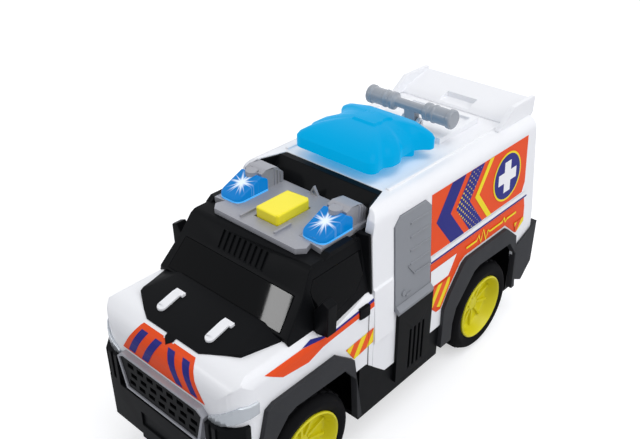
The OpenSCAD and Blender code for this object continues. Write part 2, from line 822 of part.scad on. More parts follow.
// Low pyramid of clear plastic over the roof lamp, with a lobe and an ear on each side
module dome_form(d) {
    half = dome_w / 2 - d;
    y0 = dome_y0 + d;
    y1 = dome_y0 + dome_len - d;
    top = dome_top_z - d;
    hull() {
        along_z(dome_low_z - d, dome_low_z + dome_rim - d)
            polygon(sym([[half - 2, y0], [half, y0 + 3], [half, y1 - 14], [half - 8, y1]]));
        along_z(top - 1, top)
            polygon(sym([[15, y0 + 16], [18, y0 + 26], [17, y1 - 13], [10, y1 - 9]]));
    }
}

module light_dome() {
    lobe_x = dome_w / 2;
    lobe_y = dome_y0 + 13;
    lobe = [[lobe_x - 4, lobe_y], [lobe_x + 2.2, lobe_y + 3.5], [lobe_x + 2.2, lobe_y + 12.5],
        [lobe_x - 4, lobe_y + 16]];
    ear_x = dome_w / 2 - 6.6;
    ear_y = dome_y0 + 46;
    collar = 20;
    collar_y0 = dome_y0 + 6;
    collar_y1 = dome_y0 + dome_len - 12;
    base_t = 1.6;
    cap_y = dome_y0 + dome_len - 25;
    ear = [[ear_x, ear_y], [ear_x + 11, ear_y + 2], [ear_x + 13, ear_y + 6],
        [ear_x + 11, ear_y + 10], [ear_x - 2, ear_y + 12]];
    color(cyan) difference() {
        union() {
            difference() {
                union() {
                    dome_form(0);
                    block(-9, 9, cap_y, cap_y + 12, dome_top_z - 1, dome_top_z + 1.2);
                    both_sides() along_z(dome_low_z + 1.5, dome_low_z + dome_rim + 1) polygon(lobe);
                    both_sides() along_z(dome_low_z, dome_low_z + dome_rim - 1.5) polygon(ear);
                }
                dome_form(dome_wall);
            }
            block(-collar - 6, collar + 6, dome_y0 + dome_wall - 0.1, dome_y0 + dome_len - 6, dome_low_z,
                dome_low_z + base_t);
            block(-collar, collar, collar_y0, collar_y1, roof_z, dome_low_z + 1);
        }
        block(-collar + dome_wall, collar - dome_wall, collar_y0 + dome_wall, collar_y1 - dome_wall,
            roof_z - 1, dome_low_z + base_t + 0.4);
    }
}

// Light-emitting diodes under both lenses and under the dome
module led(x, y, z) {
    led_h = 4;
    rod_z(led_r, z, z + led_h, x, y);
    translate([x, y, z + led_h]) sphere(r = led_r);
}

module leds() {
    color("#bfe4ff") {
        led(0, dome_y0 + 26, roof_z);
        led(lamp_x, led_y, lens_low_z - seat_gap);
        led(-lamp_x, led_y, lens_low_z - seat_gap);
    }
}

// Grey roller panel and vented step panel on each side of the box
module locker_cut() {
    cut = [[side_x(locker_low_z) - locker_depth, locker_low_z],
        [side_x(locker_top_z) - locker_depth, locker_top_z], [reach, locker_top_z], [reach, locker_low_z]];
    intersection() {
        along_y(locker_y0, locker_y0 + locker_len) polygon(cut);
        locker_shape(0);
    }
}

// Side outline of a roller panel with chamfered top corners
module locker_shape(d) {
    y0 = locker_y0 + d;
    y1 = locker_y0 + locker_len - d;
    z1 = locker_top_z - d;
    corner = 5;
    along_x(0, reach) polygon([[y0, locker_low_z - 5], [y0, z1 - corner], [y0 + corner, z1],
        [y1 - corner, z1], [y1, z1 - corner], [y1, locker_low_z - 5]]);
}

module locker() {
    ledge = 4;
    rib_n = 4;
    rib_pitch = 9;
    proud = 1;
    y0 = locker_y0;
    y1 = locker_y0 + locker_len;
    z0 = locker_low_z;
    z1 = locker_top_z;
    x0 = side_x(z0);
    x1 = side_x(z1);
    panel = [[x0 - locker_depth, z0], [x0 + proud, z0], [x1 + proud, z1], [x1 - locker_depth, z1]];
    color(mid_grey) intersection() {
        union() {
            along_y(y0, y1) polygon(panel);
            along_y(y0, y1) polygon([[x0, z0], [x0 + ledge - 1, z0 - 2], [x0 + ledge, z0 + 1],
                [x0 + proud, z0 + ledge]]);
            for (i = [1:rib_n]) let (z = z1 - rib_pitch * i)
                along_y(y0 + 14, y1 - 2) translate([side_x(z) + proud - 0.6, z]) square([1.2, 1.4]);
        }
        locker_shape(seat_gap);
    }
}

module locker_left() {
    locker();
}

module locker_right() {
    mirror([1, 0, 0]) locker();
}

module locker_vent() {
    slot_n = 4;
    slot_pitch = 4.4;
    slot_w = 2;
    proud = 2;
    y0 = locker_y0 + 2;
    y1 = locker_y0 + locker_len + 2;
    z0 = pan_z + 9;
    z1 = locker_low_z - 2.4;
    panel = [[y0, z0], [y0, z1], [y1, z1], [y1, z0 + 8], [y1 - 6, z0]];
    skin = [[0, box_low_z], [side_x(box_low_z), box_low_z], [side_x(z1), z1], [0, z1 + 1]];
    color(black) difference() {
        along_x(sill_x, box_half + proud) polygon(panel);
        along_y(cab_end_y, tail_y) polygon(skin);
        for (i = [0:slot_n - 1]) let (y = y0 + 12 + slot_pitch * i)
            block(box_half + proud - 1.2, reach, y, y + slot_w, z0 + 4, z1 - 18);
    }
}

module locker_vent_left() {
    locker_vent();
}

module locker_vent_right() {
    mirror([1, 0, 0]) locker_vent();
}

// Dark wheel arch flares
module flare(y, lead) {
    color(dark_grey) difference() {
        along_x(flare_x, box_half + arch_cover) polygon(arch(1, y, lead));
        along_x(flare_x - 1, box_half + arch_cover + 1) polygon(arch_cut(0, y, lead));
        difference() {
            union() {
                cab_solid(0);
                box_solid();
            }
            wheel_wells();
        }
    }
}

module front_flare_left() {
    flare(front_axle_y, front_lead);
}

module front_flare_right() {
    mirror([1, 0, 0]) flare(front_axle_y, front_lead);
}

module rear_flare_left() {
    flare(rear_axle_y, rear_lead);
}

module rear_flare_right() {
    mirror([1, 0, 0]) flare(rear_axle_y, rear_lead);
}

// Y of the rear flare's outer edge at height z
function flare_edge(z) = rear_axle_y + arch_r - 2 +
    (arch_tail + 2) * (arch_top_z + 1 - z) / (arch_top_z + 1 - arch_low_z);

module rear_bumper() {
    low_z = 30;
    top_z = door_low_z - 4;
    half = box_half + 1.4;
    plate_half = 30;
    plate_depth = 1.4;
    edge_gap = 0.5;
    front_z = top_z - 10;
    side = [[flare_edge(low_z + 6) + edge_gap, low_z + 6], [flare_edge(front_z) + edge_gap, front_z],
        [tail_y, top_z], [tail_y, low_z + 12], [tail_y - 12, low_z]];
    inside = [[0, 0], [0, roof_z], [tail_low_y, roof_z], [tail_low_y, box_low_z],
        [tail_low_y - 2, box_low_z - 1], [tail_low_y - 2, 0]];
    color(dark_grey) difference() {
        along_x(-half, half) polygon(side);
        along_x(-box_half, box_half) polygon(inside);
        block(-plate_half, plate_half, tail_y - plate_depth, tail_y + 1, 0, roof_z);
    }
}

module mirror_piece() {
    x0 = glass_low_half - 1;
    x1 = cab_half + 6;
    y0 = dip_y - 7;
    z0 = dip_z + 4;
    head = [[x1 - 10, z0], [x1, z0 + 2], [x1 + 0.5, z0 + 21], [x1 - 4, z0 + 23], [x1 - 10, z0 + 14]];
    arm = [[x0 - 6, dip_z - 2], [x1 - 8, z0 - 4], [x1 - 6, z0 + 4], [x0 - 6, z0 + 6]];
    color(black) difference() {
        union() {
            along_y(y0, y0 + 7) polygon(head);
            along_y(y0 + 1, y0 + 6) polygon(arm);
        }
        cab_solid(0);
        house_solid(0);
        hood_panel();
    }
}

module mirror_left() {
    mirror_piece();
}

module mirror_right() {
    mirror([1, 0, 0]) mirror_piece();
}

module door_handles() {
    y1 = cab_end_y - 6;
    z1 = dip_z + 2.5;
    grip = [[cab_half - 5, y1 - 8], [cab_half + 1, y1 - 8], [cab_half + 1.6, y1 - 5],
        [cab_half + 1.6, y1], [cab_half - 5, y1]];
    color(black) both_sides() difference() {
        along_z(z1 - 7, z1) polygon(grip);
        cab_solid(0);
        house_solid(0);
    }
}

// Silver grey light bar on the cab roof with its two lamp cowls
module button_well(d, z0, z1) {
    half_w = button_w / 2 + d;
    half_l = button_len / 2 + d;
    block(-half_w, half_w, button_y - half_l, button_y + half_l, z0, z1);
}

module light_bar() {
    plate = sym([[bar_half - 10, bar_front_y], [bar_half - 6, bar_front_y + 4.5],
        [bar_half - 8, bar_front_y + 10], [bar_half, bar_front_y + 9], [bar_half, bar_rear_y - 4],
        [bar_half - 4, bar_rear_y]]);
    cowl_y1 = bar_rear_y - 1;
    cowl = [[cowl_y0, cab_roof_z + 1], [cowl_y0, bar_top_z + 11], [cowl_y0 + 4, bar_top_z + 12.6],
        [cowl_y1 - 5, bar_top_z + 11], [cowl_y1, bar_top_z + 6], [cowl_y1, cab_roof_z + 1]];
    rib_half = cowl_half + 0.7;
    rib_x = button_w / 2 + 4;
    rib_low = bar_top_z - 1;
    lug = [[-4, rib_low], [0, bar_top_z + 6], [4, rib_low]];
    color(silver_grey) union() {
        difference() {
            union() {
                along_z(cab_roof_z, bar_top_z) polygon(plate);
                along_y(bar_rear_y - 2.4, bar_rear_y - 0.6) polygon(lug);
                both_sides() block(rib_x, rib_x + 1.4, bar_front_y + 3, bar_front_y + 16, rib_low,
                    bar_top_z + 1.4);
            }
            button_well(move_gap, cab_roof_z - 1, bar_top_z + 20);
            both_sides() lamp_lens_solid(seat_gap);
            translate([0, bar_rear_y, bar_top_z + 2]) rotate([90, 0, 0]) cylinder(r = 1, h = 4);
        }
        both_sides() along_x(lamp_x - cowl_half, lamp_x + cowl_half) polygon(cowl);
        both_sides() cowl_finger(0);
        both_sides() for (i = [0:2]) let (y = cowl_y1 - 8 + i * 2.4, z = bar_top_z + 11.4 - i * 1.6)
            along_x(lamp_x - rib_half, lamp_x + rib_half)
                polygon([[y, rib_low], [y, z], [y + 1, z - 0.6], [y + 1, rib_low]]);
    }
}

// Round nose of a cowl that reaches over the lens, grown by d
module cowl_finger(d) {
    half = finger_half + d;
    rod_z(half, finger_low_z - d, cowl_top_z, lamp_x, finger_y + finger_half);
    block(lamp_x - half, lamp_x + half, finger_y + finger_half, cowl_y0 + 2, finger_low_z - d, cowl_top_z);
}

// Wedge lens that sits in front of the cowl and wraps its front end
module lamp_lens_solid(d) {
    x0 = lamp_x - lamp_w / 2;
    x1 = lamp_x + lamp_w / 2;
    y0 = button_y - 12;
    y1 = button_y + 12;
    low_z = lens_low_z - d;
    section = [[x0 - d, low_z], [x0 - d, bar_top_z + 8.2], [x0 + 1, bar_top_z + 10.2],
        [x0 + 3, bar_top_z + 11.5], [x1 - 3, bar_top_z + 11.5], [x1 - 1, bar_top_z + 10.2],
        [x1 + d, bar_top_z + 8.2], [x1 + d, low_z]];
    side = [[y0 - d, low_z], [y0 - d, bar_top_z + 2.5], [y1 - 5, bar_top_z + 10.4], [y1 - 2, bar_top_z + 9.8],
        [y1 + d, bar_top_z + 7.4], [y1 + d, low_z]];
    intersection() {
        along_y(y0 - 1, y1 + 1) polygon(section);
        along_x(0, reach) polygon(side);
    }
}

module lamp_lens() {
    slot_half = cowl_half + seat_gap;
    color(blue) difference() {
        lamp_lens_solid(0);
        block(lamp_x - slot_half, lamp_x + slot_half, cowl_y0 - seat_gap, button_y + 20, 0, bar_top_z + 20);
        cowl_finger(seat_gap);
        rod_z(led_r + 0.5, 0, bore_top_z, lamp_x, led_y);
    }
}

module lamp_lens_left() {
    lamp_lens();
}

module lamp_lens_right() {
    mirror([1, 0, 0]) lamp_lens();
}

// Electronics
module circuit_board() {
    half = bar_half / 2 + 6;
    color("darkgreen") block(-half, half, button_y - 12, button_y + 12, board_z, board_z + board_t);
}

module push_switch() {
    color("dimgray") union() {
        block(-3, 3, button_y - 3, button_y + 3, board_z + board_t, board_z + board_t + switch_h - 1);
        rod_z(1.7, board_z + board_t, board_z + board_t + switch_h, 0, button_y);
    }
}

module speaker() {
    speaker_r = 14;
    color("#26282b") difference() {
        union() {
            rod_z(speaker_r, pan_top_z, pan_top_z + 3, 0, speaker_y);
            rod_z(speaker_r - 6, pan_top_z, pan_top_z + 8, 0, speaker_y);
        }
        rod_z(speaker_r - 3, pan_top_z - 1, pan_top_z + 1.4, 0, speaker_y);
    }
}

module batteries() {
    color("#b5402f") for (i = [0:battery_n - 1]) let (x = (i - (battery_n - 1) / 2) * battery_pitch)
        translate([x, bay_y - battery_len / 2 + 0.9, battery_z]) rotate([-90, 0, 0]) union() {
            cylinder(r = battery_r, h = battery_len - 1.8);
            cylinder(r = 1.9, h = battery_len - 0.9);
        }
}

module battery_contacts() {
    half = bay_half - 0.5;
    low_z = pan_z + cover_t + 0.5;
    top_z = pan_top_z + 2 * battery_r - 1;
    color("silver") for (s = [-1, 1]) let (y = bay_y + s * (bay_len - contact_t) / 2)
        block(-half, half, y - contact_t / 2, y + contact_t / 2, low_z, top_z);
}

// Plate that closes the battery bay, flush with the underside, grown by d
module cover_plate(d, z0, z1) {
    half = bay_half + cover_rim + d;
    block(-half, half, bay_y - bay_len / 2 - cover_rim - d, bay_y + bay_len / 2 + cover_lip + d, z0, z1);
}

module battery_cover() {
    color(black) difference() {
        cover_plate(0, pan_z, pan_z + cover_t);
        rod_z(screw_r + seat_gap, 0, pan_z + 10, 0, cover_screw_y);
        rod_z(screw_head_r + seat_gap, 0, pan_z + screw_head_h, 0, cover_screw_y);
    }
}

// Cross-slot screw whose head ends at z and whose shank rises from there
module screw(x, y, z, len) {
    slot = 0.35;
    arm = 1.6;
    color("silver") difference() {
        union() {
            rod_z(screw_r, z, z + len, x, y);
            rod_z(screw_head_r, z - screw_head_h, z, x, y);
        }
        block(x - slot, x + slot, y - arm, y + arm, z - screw_head_h - 1, z - screw_head_h / 2);
        block(x - arm, x + arm, y - slot, y + slot, z - screw_head_h - 1, z - screw_head_h / 2);
    }
}

module cover_screw() {
    screw(0, cover_screw_y, pan_z + screw_head_h, cover_boss_h);
}

module body_screws() {
    for (y = boss_places, s = [-1, 1]) screw(s * boss_x, y, pan_z + screw_head_h, 11);
}

// Y of the sloping rear face at height z
function rear_y(z) = let (z0 = door_low_z - 3)
    tail_low_y + (tail_top_y - tail_low_y) * (z - z0) / (roof_z - z0);

module tail_lamps() {
    lamp_t = 1.4;
    lamp_gap = 2;
    tail_lamp_w = 7;
    x0 = door_half + lamp_gap;
    z0 = door_low_z + 6;
    z1 = door_low_z + 34;
    side = [[rear_y(z0), z0], [rear_y(z0) + lamp_t, z0 + 0.5], [rear_y(z1) + lamp_t, z1 - 0.5],
        [rear_y(z1), z1]];
    color("#c41f25") both_sides() along_x(x0, x0 + tail_lamp_w) polygon(side);
}

// Hinge pins, springs and moving pieces
module door_pins() {
    color("silver") both_sides() door_pin_rod();
}

// Coil spring under the button, swept along a helix
spring_r = 4.8;
spring_wire = 0.35;
spring_turns = 5;
spring_steps = 10;
spring_sides = 6;
spring_low_z = board_z + board_t + spring_wire;
spring_high_z = flange_low_z - move_gap - spring_wire;
spring_n = spring_turns * spring_steps;
function spring_point(i) = let (a = 360 * i / spring_steps)
    [spring_r * cos(a), button_y + spring_r * sin(a),
     spring_low_z + (spring_high_z - spring_low_z) * i / spring_n];
function spring_ring(i) = let (p = spring_point(i), a = 360 * i / spring_steps)
    [for (k = [0:spring_sides - 1]) let (b = 360 * k / spring_sides)
        p + spring_wire * [cos(b) * cos(a), cos(b) * sin(a), sin(b)]];
spring_points = [for (i = [0:spring_n]) each spring_ring(i)];
function spring_id(i, k) = i * spring_sides + k % spring_sides;
spring_faces = concat(
    [for (i = [0:spring_n - 1], k = [0:spring_sides - 1])
        [spring_id(i, k), spring_id(i, k + 1), spring_id(i + 1, k + 1)]],
    [for (i = [0:spring_n - 1], k = [0:spring_sides - 1])
        [spring_id(i, k), spring_id(i + 1, k + 1), spring_id(i + 1, k)]],
    [for (k = [1:spring_sides - 2]) [0, k + 1, k]],
    [for (k = [1:spring_sides - 2])
        [spring_id(spring_n, 0), spring_id(spring_n, k), spring_id(spring_n, k + 1)]]);
spring_gap = min([for (i = [0:spring_n - spring_steps])
    norm(spring_point(i + spring_steps) - spring_point(i)) - 2 * spring_wire]);
echo(least_gap_between_spring_turns = spring_gap);

module button_spring() {
    color("silver") polyhedron(points = spring_points, faces = spring_faces, convexity = 8);
}

module light_button() {
    stem_r = 2.2;
    top_z = bar_top_z + button_rise;
    stem_end = board_z + board_t + switch_h + button_travel + 0.3;
    color(yellow) union() {
        button_well(0, flange_low_z, top_z);
        button_well(button_flange, flange_low_z, flange_low_z + flange_t);
        rod_z(stem_r, stem_end, flange_low_z + 0.1, 0, button_y);
    }
}

// Cross bar with barrel ends on a short neck
module mast_bar() {
    barrel = 5.4;
    collar = 6.2;
    core = 3.2;
    half = [[0, 0], [0, mast_half], [collar - 0.8, mast_half], [collar, mast_half - 0.8],
        [collar, mast_half - 3.4], [barrel, mast_half - 4], [barrel, mast_half - 13],
        [barrel + 0.5, mast_half - 13.4], [barrel + 0.5, mast_half - 14.6], [barrel, mast_half - 15],
        [barrel - 0.2, mast_half - 17.6], [barrel + 0.4, mast_half - 18], [barrel + 0.4, mast_half - 20.8],
        [barrel - 1, mast_half - 21.4], [core, mast_half - 22.6], [core, 0]];
    profile = concat(half, [for (i = [len(half) - 2:-1:1]) [half[i][0], -half[i][1]]]);
    neck = [[mast_pivot_y - mast_eye_r, mast_pivot_z], [mast_pivot_y + mast_eye_r, mast_pivot_z],
        [mast_y + core - 0.6, mast_z], [mast_y - core + 0.6, mast_z]];
    color(mid_grey) difference() {
        union() {
            translate([0, mast_y, mast_z]) rotate([0, 90, 0]) rotate_extrude() polygon(profile);
            along_x(-mast_neck, mast_neck) polygon(neck);
            rod_x(mast_eye_r, -mast_neck, mast_neck, mast_pivot_y, mast_pivot_z);
        }
        rod_x(mast_pin_r + run_gap, -reach, reach, mast_pivot_y, mast_pivot_z);
    }
}

module rear_door() {
    x0 = seat_gap;
    z0 = door_low_z + move_gap;
    z1 = door_top_z - move_gap;
    y0 = door_y - door_t / 2;
    y1 = y0 + door_t;
    mid_z = door_low_z + door_h * 0.48;
    press_depth = 0.8;
    grip_z = mid_z - 8;
    color(white) difference() {
        union() {
            block(x0, door_pin_x, y0, y1, z0, z1);
            rod_z(door_barrel_r, z0, z1, door_pin_x, door_y);
            block(x0 + 3, x0 + 6, y1 - 0.1, y1 + 3, grip_z, grip_z + 16);
        }
        rod_z(door_pin_r + run_gap, z0 - 1, z1 + 1, door_pin_x, door_y);
        block(x0 + 8, door_pin_x - 7, y1 - press_depth, y1 + 1, mid_z + 3, z1 - 8);
        block(x0 + 8, door_pin_x - 7, y1 - press_depth, y1 + 1, z0 + 8, mid_z - 3);
    }
}

module rear_door_left() {
    rear_door();
}

module rear_door_right() {
    mirror([1, 0, 0]) rear_door();
}

// Wheels
module axle(y) {
    half = wheel_x + wheel_w / 2 - rim_dish;
    color("silver") rod_x(axle_r, -half, half, y, wheel_r);
}

// Places a wheel piece modelled about its own axis, outer face towards +X
module at_wheel(y) {
    translate([wheel_x, y, wheel_r]) rotate([0, 90, 0]) children();
}

rim_seat_r = rim_r - 1.8;
rim_skin = 1.8;

module rim() {
    face = wheel_w / 2;
    disc = face - rim_dish;
    inner = rim_seat_r - rim_skin;
    hub_r = 4.5;
    cap_r = 5;
    rib_w = 2;
    rib_h = 2.4;
    profile = [[0, disc - 3], [0, disc + 2], [cap_r, disc + 2], [cap_r + 0.6, disc], [inner - 1, disc],
        [inner, disc + 1.2], [rim_r - rim_skin, face - 1.4], [rim_r - 1, face], [rim_r, face - 0.6],
        [rim_r, face - 2], [rim_seat_r, face - 3], [rim_seat_r, -face + 3], [rim_r - 1, -face + 2],
        [rim_r - 1, -face + 1], [inner, -face + 1], [inner, disc - 3]];
    color(rim_yellow) difference() {
        union() {
            rotate_extrude() polygon(profile);
            for (i = [0:rim_ribs - 1]) rotate(i * 360 / rim_ribs)
                translate([cap_r, -rib_w / 2, disc - 0.5]) cube([inner - cap_r - 0.4, rib_w, rib_h]);
            translate([0, 0, -face + 4]) cylinder(r = hub_r, h = disc + face - 5);
        }
        translate([0, 0, -wheel_w]) cylinder(r = axle_r - press, h = wheel_w + disc);
    }
}

module tyre() {
    face = wheel_w / 2;
    edge = 5;
    profile = concat(
        [[rim_seat_r - press, -face + 3], [rim_r, -face + 1.6], [rim_r + 1, -face + 0.4]],
        [[wheel_r - edge - 1, -face]],
        arc(wheel_r - edge, -face + edge, edge, edge, -90, 0, 4),
        arc(wheel_r - edge, face - edge, edge, edge, 0, 90, 4),
        [[wheel_r - edge - 1, face], [rim_r + 2, face - 0.6], [rim_r + press, face - 1.6],
         [rim_r + press, face - 2], [rim_seat_r - press, face - 3]]);
    color(black) rotate_extrude() polygon(profile);
}

module front_axle() {
    axle(front_axle_y);
}

module front_rim_left() {
    at_wheel(front_axle_y) rim();
}

module front_rim_right() {
    mirror([1, 0, 0]) at_wheel(front_axle_y) rim();
}

module front_tyre_left() {
    at_wheel(front_axle_y) tyre();
}

module front_tyre_right() {
    mirror([1, 0, 0]) at_wheel(front_axle_y) tyre();
}

module rear_axle() {
    axle(rear_axle_y);
}

module rear_rim_left() {
    at_wheel(rear_axle_y) rim();
}

module rear_rim_right() {
    mirror([1, 0, 0]) at_wheel(rear_axle_y) rim();
}

module rear_tyre_left() {
    at_wheel(rear_axle_y) tyre();
}

module rear_tyre_right() {
    mirror([1, 0, 0]) at_wheel(rear_axle_y) tyre();
}

chassis();
cab_shell();
cab_upper();
windshield();
side_window_left();
side_window_right();
hood_panel();
hood_tabs();
grille();
grille_frame();
headlight_left();
headlight_right();
front_bumper();
box_shell();
load_floor();
roof_spoiler();
mast_base();
light_dome();
leds();
locker_left();
locker_right();
locker_vent_left();
locker_vent_right();
front_flare_left();
front_flare_right();
rear_flare_left();
rear_flare_right();
rear_bumper();
mirror_left();
mirror_right();
door_handles();
light_bar();
lamp_lens_left();
lamp_lens_right();
circuit_board();
push_switch();
speaker();
batteries();
battery_contacts();
battery_cover();
cover_screw();
body_screws();
tail_lamps();
door_pins();
mast_pin();
button_spring();
front_axle();
front_rim_left();
front_rim_right();
front_tyre_left();
front_tyre_right();
rear_axle();
rear_rim_left();
rear_rim_right();
rear_tyre_left();
rear_tyre_right();
light_button();
mast_bar();
rear_door_left();
rear_door_right();
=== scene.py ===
"""Looks of the toy ambulance: moulded plastics, lit lenses, cut vinyl livery and a plain studio."""
import json
import math

import bmesh
import bpy
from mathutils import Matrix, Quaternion, Vector
from mathutils.bvhtree import BVHTree


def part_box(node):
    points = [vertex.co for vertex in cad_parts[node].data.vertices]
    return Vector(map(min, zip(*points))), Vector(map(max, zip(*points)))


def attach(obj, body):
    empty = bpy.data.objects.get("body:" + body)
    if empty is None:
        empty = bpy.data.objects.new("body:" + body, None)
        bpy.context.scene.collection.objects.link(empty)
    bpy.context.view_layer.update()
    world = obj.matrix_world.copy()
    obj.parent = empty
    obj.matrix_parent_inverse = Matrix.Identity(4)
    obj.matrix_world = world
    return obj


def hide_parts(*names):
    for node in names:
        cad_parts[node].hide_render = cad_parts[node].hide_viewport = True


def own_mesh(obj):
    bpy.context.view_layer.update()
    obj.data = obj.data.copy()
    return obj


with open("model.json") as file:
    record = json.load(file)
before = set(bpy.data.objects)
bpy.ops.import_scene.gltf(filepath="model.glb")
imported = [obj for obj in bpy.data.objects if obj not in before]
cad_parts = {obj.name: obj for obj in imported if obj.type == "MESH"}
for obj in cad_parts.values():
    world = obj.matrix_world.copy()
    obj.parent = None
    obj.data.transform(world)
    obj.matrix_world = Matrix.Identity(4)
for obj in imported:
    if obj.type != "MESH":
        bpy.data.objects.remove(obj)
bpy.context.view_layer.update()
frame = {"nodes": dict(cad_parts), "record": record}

MM = 0.001
NODES = frame["nodes"]
BEHAVIOUR = frame["record"]["behaviour"]
BODY_OF = {node: body for body, names in BEHAVIOUR["bodies"].items() for node in names}
SLOT_OF = {part["node"]: part["material_slot"] for part in frame["record"]["subparts"]}
# The vehicle's left side is +X
SIDES = ((1, "left"), (-1, "right"))


# Places read from the frame
def low_high(node):
    """The lowest and highest corners of a CAD piece, in mm."""
    low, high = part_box(node)
    return low / MM, high / MM


CAB_HIGH = low_high("cab_shell")[1]
DOME_LOW = low_high("light_dome")[0]
BUTTON_LOW, BUTTON_HIGH = low_high("light_button")
LENS_LOW, LENS_HIGH = low_high("lamp_lens_left")
BUTTON_Y = (BUTTON_LOW.y + BUTTON_HIGH.y) / 2
LAMP_X = (LENS_LOW.x + LENS_HIGH.x) / 2

# A colour Mix node's sockets share their names, so they go by number
MIX_FACTOR, MIX_FIRST, MIX_SECOND = 0, 6, 7
MIX_RESULT = 2
# A Wave texture of scale 1 repeats at this length
WAVE_LENGTH = 2 * math.pi / 20


# Colours and nodes
def linear(code, alpha=1.0):
    """An sRGB hex code as the linear colour that the shaders take."""
    parts = [int(code[i:i + 2], 16) / 255 for i in (1, 3, 5)]
    return [c / 12.92 if c <= 0.04045 else ((c + 0.055) / 1.055) ** 2.4 for c in parts] + [alpha]


def add(tree, kind, settings=None, values=None, links=None):
    """Adds a node, gives it its settings and socket values, and links its inputs to (node, output) pairs."""
    made = tree.nodes.new(kind)
    for key, value in (settings or {}).items():
        setattr(made, key, value)
    for key, value in (values or {}).items():
        made.inputs[key].default_value = value
    for key, (source, output) in (links or {}).items():
        tree.links.new(source.outputs[output], made.inputs[key])
    return made


def new_material(name, **sockets):
    """A material with its own shader, whose constant sockets are set directly."""
    material = bpy.data.materials.new(name)
    material.use_nodes = True
    tree = material.node_tree
    shader = tree.nodes["Principled BSDF"]
    for key, value in sockets.items():
        shader.inputs[key.replace("_", " ")].default_value = value
    place = add(tree, "ShaderNodeTexCoord")
    return material, tree, shader, place


# Width of a moulding's colour drift and of its patches of gloss, in mm, and how strongly its grain shows
DRIFT_MM, PATCH_MM = 28, 9
GRAIN_STRENGTH = 0.35


def surface_of(tree, shader, place, colour, shade, rough, grain_mm, depth_mm):
    """Colour that drifts a little, uneven gloss and a fine tooled grain, as moulding leaves them.
    shade is the darker end of the drift, rough the pair of roughness limits."""
    where = {"Vector": (place, "Object")}
    drift = add(tree, "ShaderNodeTexNoise", values={"Scale": 1 / (DRIFT_MM * MM), "Detail": 3.0}, links=where)
    tint = add(tree, "ShaderNodeMix", {"data_type": "RGBA"},
               {MIX_FIRST: linear(shade), MIX_SECOND: linear(colour)}, {MIX_FACTOR: (drift, "Fac")})
    tree.links.new(tint.outputs[MIX_RESULT], shader.inputs["Base Color"])
    patch = add(tree, "ShaderNodeTexNoise", values={"Scale": 1 / (PATCH_MM * MM), "Detail": 2.0}, links=where)
    gloss = add(tree, "ShaderNodeMapRange", values={"To Min": rough[0], "To Max": rough[1]},
                links={"Value": (patch, "Fac")})
    tree.links.new(gloss.outputs["Result"], shader.inputs["Roughness"])
    grain = add(tree, "ShaderNodeTexNoise", values={"Scale": 1 / (grain_mm * MM), "Detail": 2.0}, links=where)
    bump = add(tree, "ShaderNodeBump", values={"Strength": GRAIN_STRENGTH, "Distance": depth_mm * MM},
               links={"Height": (grain, "Fac")})
    tree.links.new(bump.outputs["Normal"], shader.inputs["Normal"])
    return tint


# Plastics
def moulded(name, colour, shade, rough, grain_mm, depth_mm, **sockets):
    """A plastic with the surface that its mould gives it."""
    material, tree, shader, place = new_material(name, **sockets)
    surface_of(tree, shader, place, colour, shade, rough, grain_mm, depth_mm)
    return material


def make_plastics():
    """Each plain plastic by the record's slot that it finishes."""
    made = {}
    # Polished white ABS: glossy, faintly blue-white, with the slow waviness of a large moulded wall
    made["white_plastic"] = moulded("white_abs_polished_mould", "#f3f4f7", "#eff0f4", rough=(0.26, 0.34),
                                    grain_mm=9, depth_mm=0.03)
    # Black ABS from a finely textured mould: satin, with a soft grey sheen on edges
    made["black_plastic"] = moulded("black_abs_satin_mould", "#101113", "#0c0d0f", rough=(0.34, 0.44),
                                    grain_mm=0.9, depth_mm=0.02, Specular_IOR_Level=0.06)
    # Black polystyrene from a mirror-polished mould: deep gloss, used as blind windows
    made["black_glazing"] = moulded("black_polystyrene_mirror_mould", "#0c0d0f", "#0a0b0c",
                                    rough=(0.02, 0.035), grain_mm=14, depth_mm=0.006, Specular_IOR_Level=0.07)
    # Dark grey polypropylene with an eroded grain: dull and slightly rough
    made["dark_grey_plastic"] = moulded("dark_grey_polypropylene_grained", "#38393c", "#313235",
                                        rough=(0.5, 0.62), grain_mm=0.8, depth_mm=0.04,
                                        Specular_IOR_Level=0.12)
    # Mid grey ABS from a textured mould: satin
    made["mid_grey_plastic"] = moulded("mid_grey_abs_satin", "#8f9298", "#85888e", rough=(0.4, 0.5),
                                       grain_mm=1.0, depth_mm=0.03, Specular_IOR_Level=0.25)
    # Bright yellow ABS, polished: clean and glossy
    made["yellow_button"] = moulded("yellow_abs_polished", "#fdee2f", "#fae91f", rough=(0.3, 0.36),
                                    grain_mm=6, depth_mm=0.02)
    # Yellow polypropylene of the wheel rims: a little greener and duller than the button
    made["yellow_rim"] = moulded("yellow_polypropylene_rim", "#dfd61c", "#d3ca14", rough=(0.36, 0.46),
                                 grain_mm=2, depth_mm=0.03)
    # Soft black PVC of the tyres: matt and grainy
    made["tyre"] = moulded("black_soft_pvc_tyre", "#111113", "#0d0d0f", rough=(0.6, 0.74),
                           grain_mm=0.8, depth_mm=0.05, Specular_IOR_Level=0.07)
    # Black nylon of the push switch: dull, from a plain mould
    made["switch"] = moulded("black_nylon_switch", "#26272a", "#202124", rough=(0.45, 0.55),
                             grain_mm=0.8, depth_mm=0.03)
    # Dark shrink sleeve of the cells: smooth and a little uneven
    made["battery_jacket"] = moulded("dark_pvc_shrink_sleeve", "#1c1d20", "#17181a", rough=(0.35, 0.45),
                                     grain_mm=3, depth_mm=0.01)
    # Glass-fibre board under a smooth lacquer: even green with a soft gloss
    made["board"] = moulded("green_glass_fibre_board", "#1f6b3a", "#185730", rough=(0.3, 0.4),
                            grain_mm=1.0, depth_mm=0.02)
    return made


# Aluminium flakes are about 0.1 mm; they are drawn larger so that they show
FLAKE_MM = 0.45


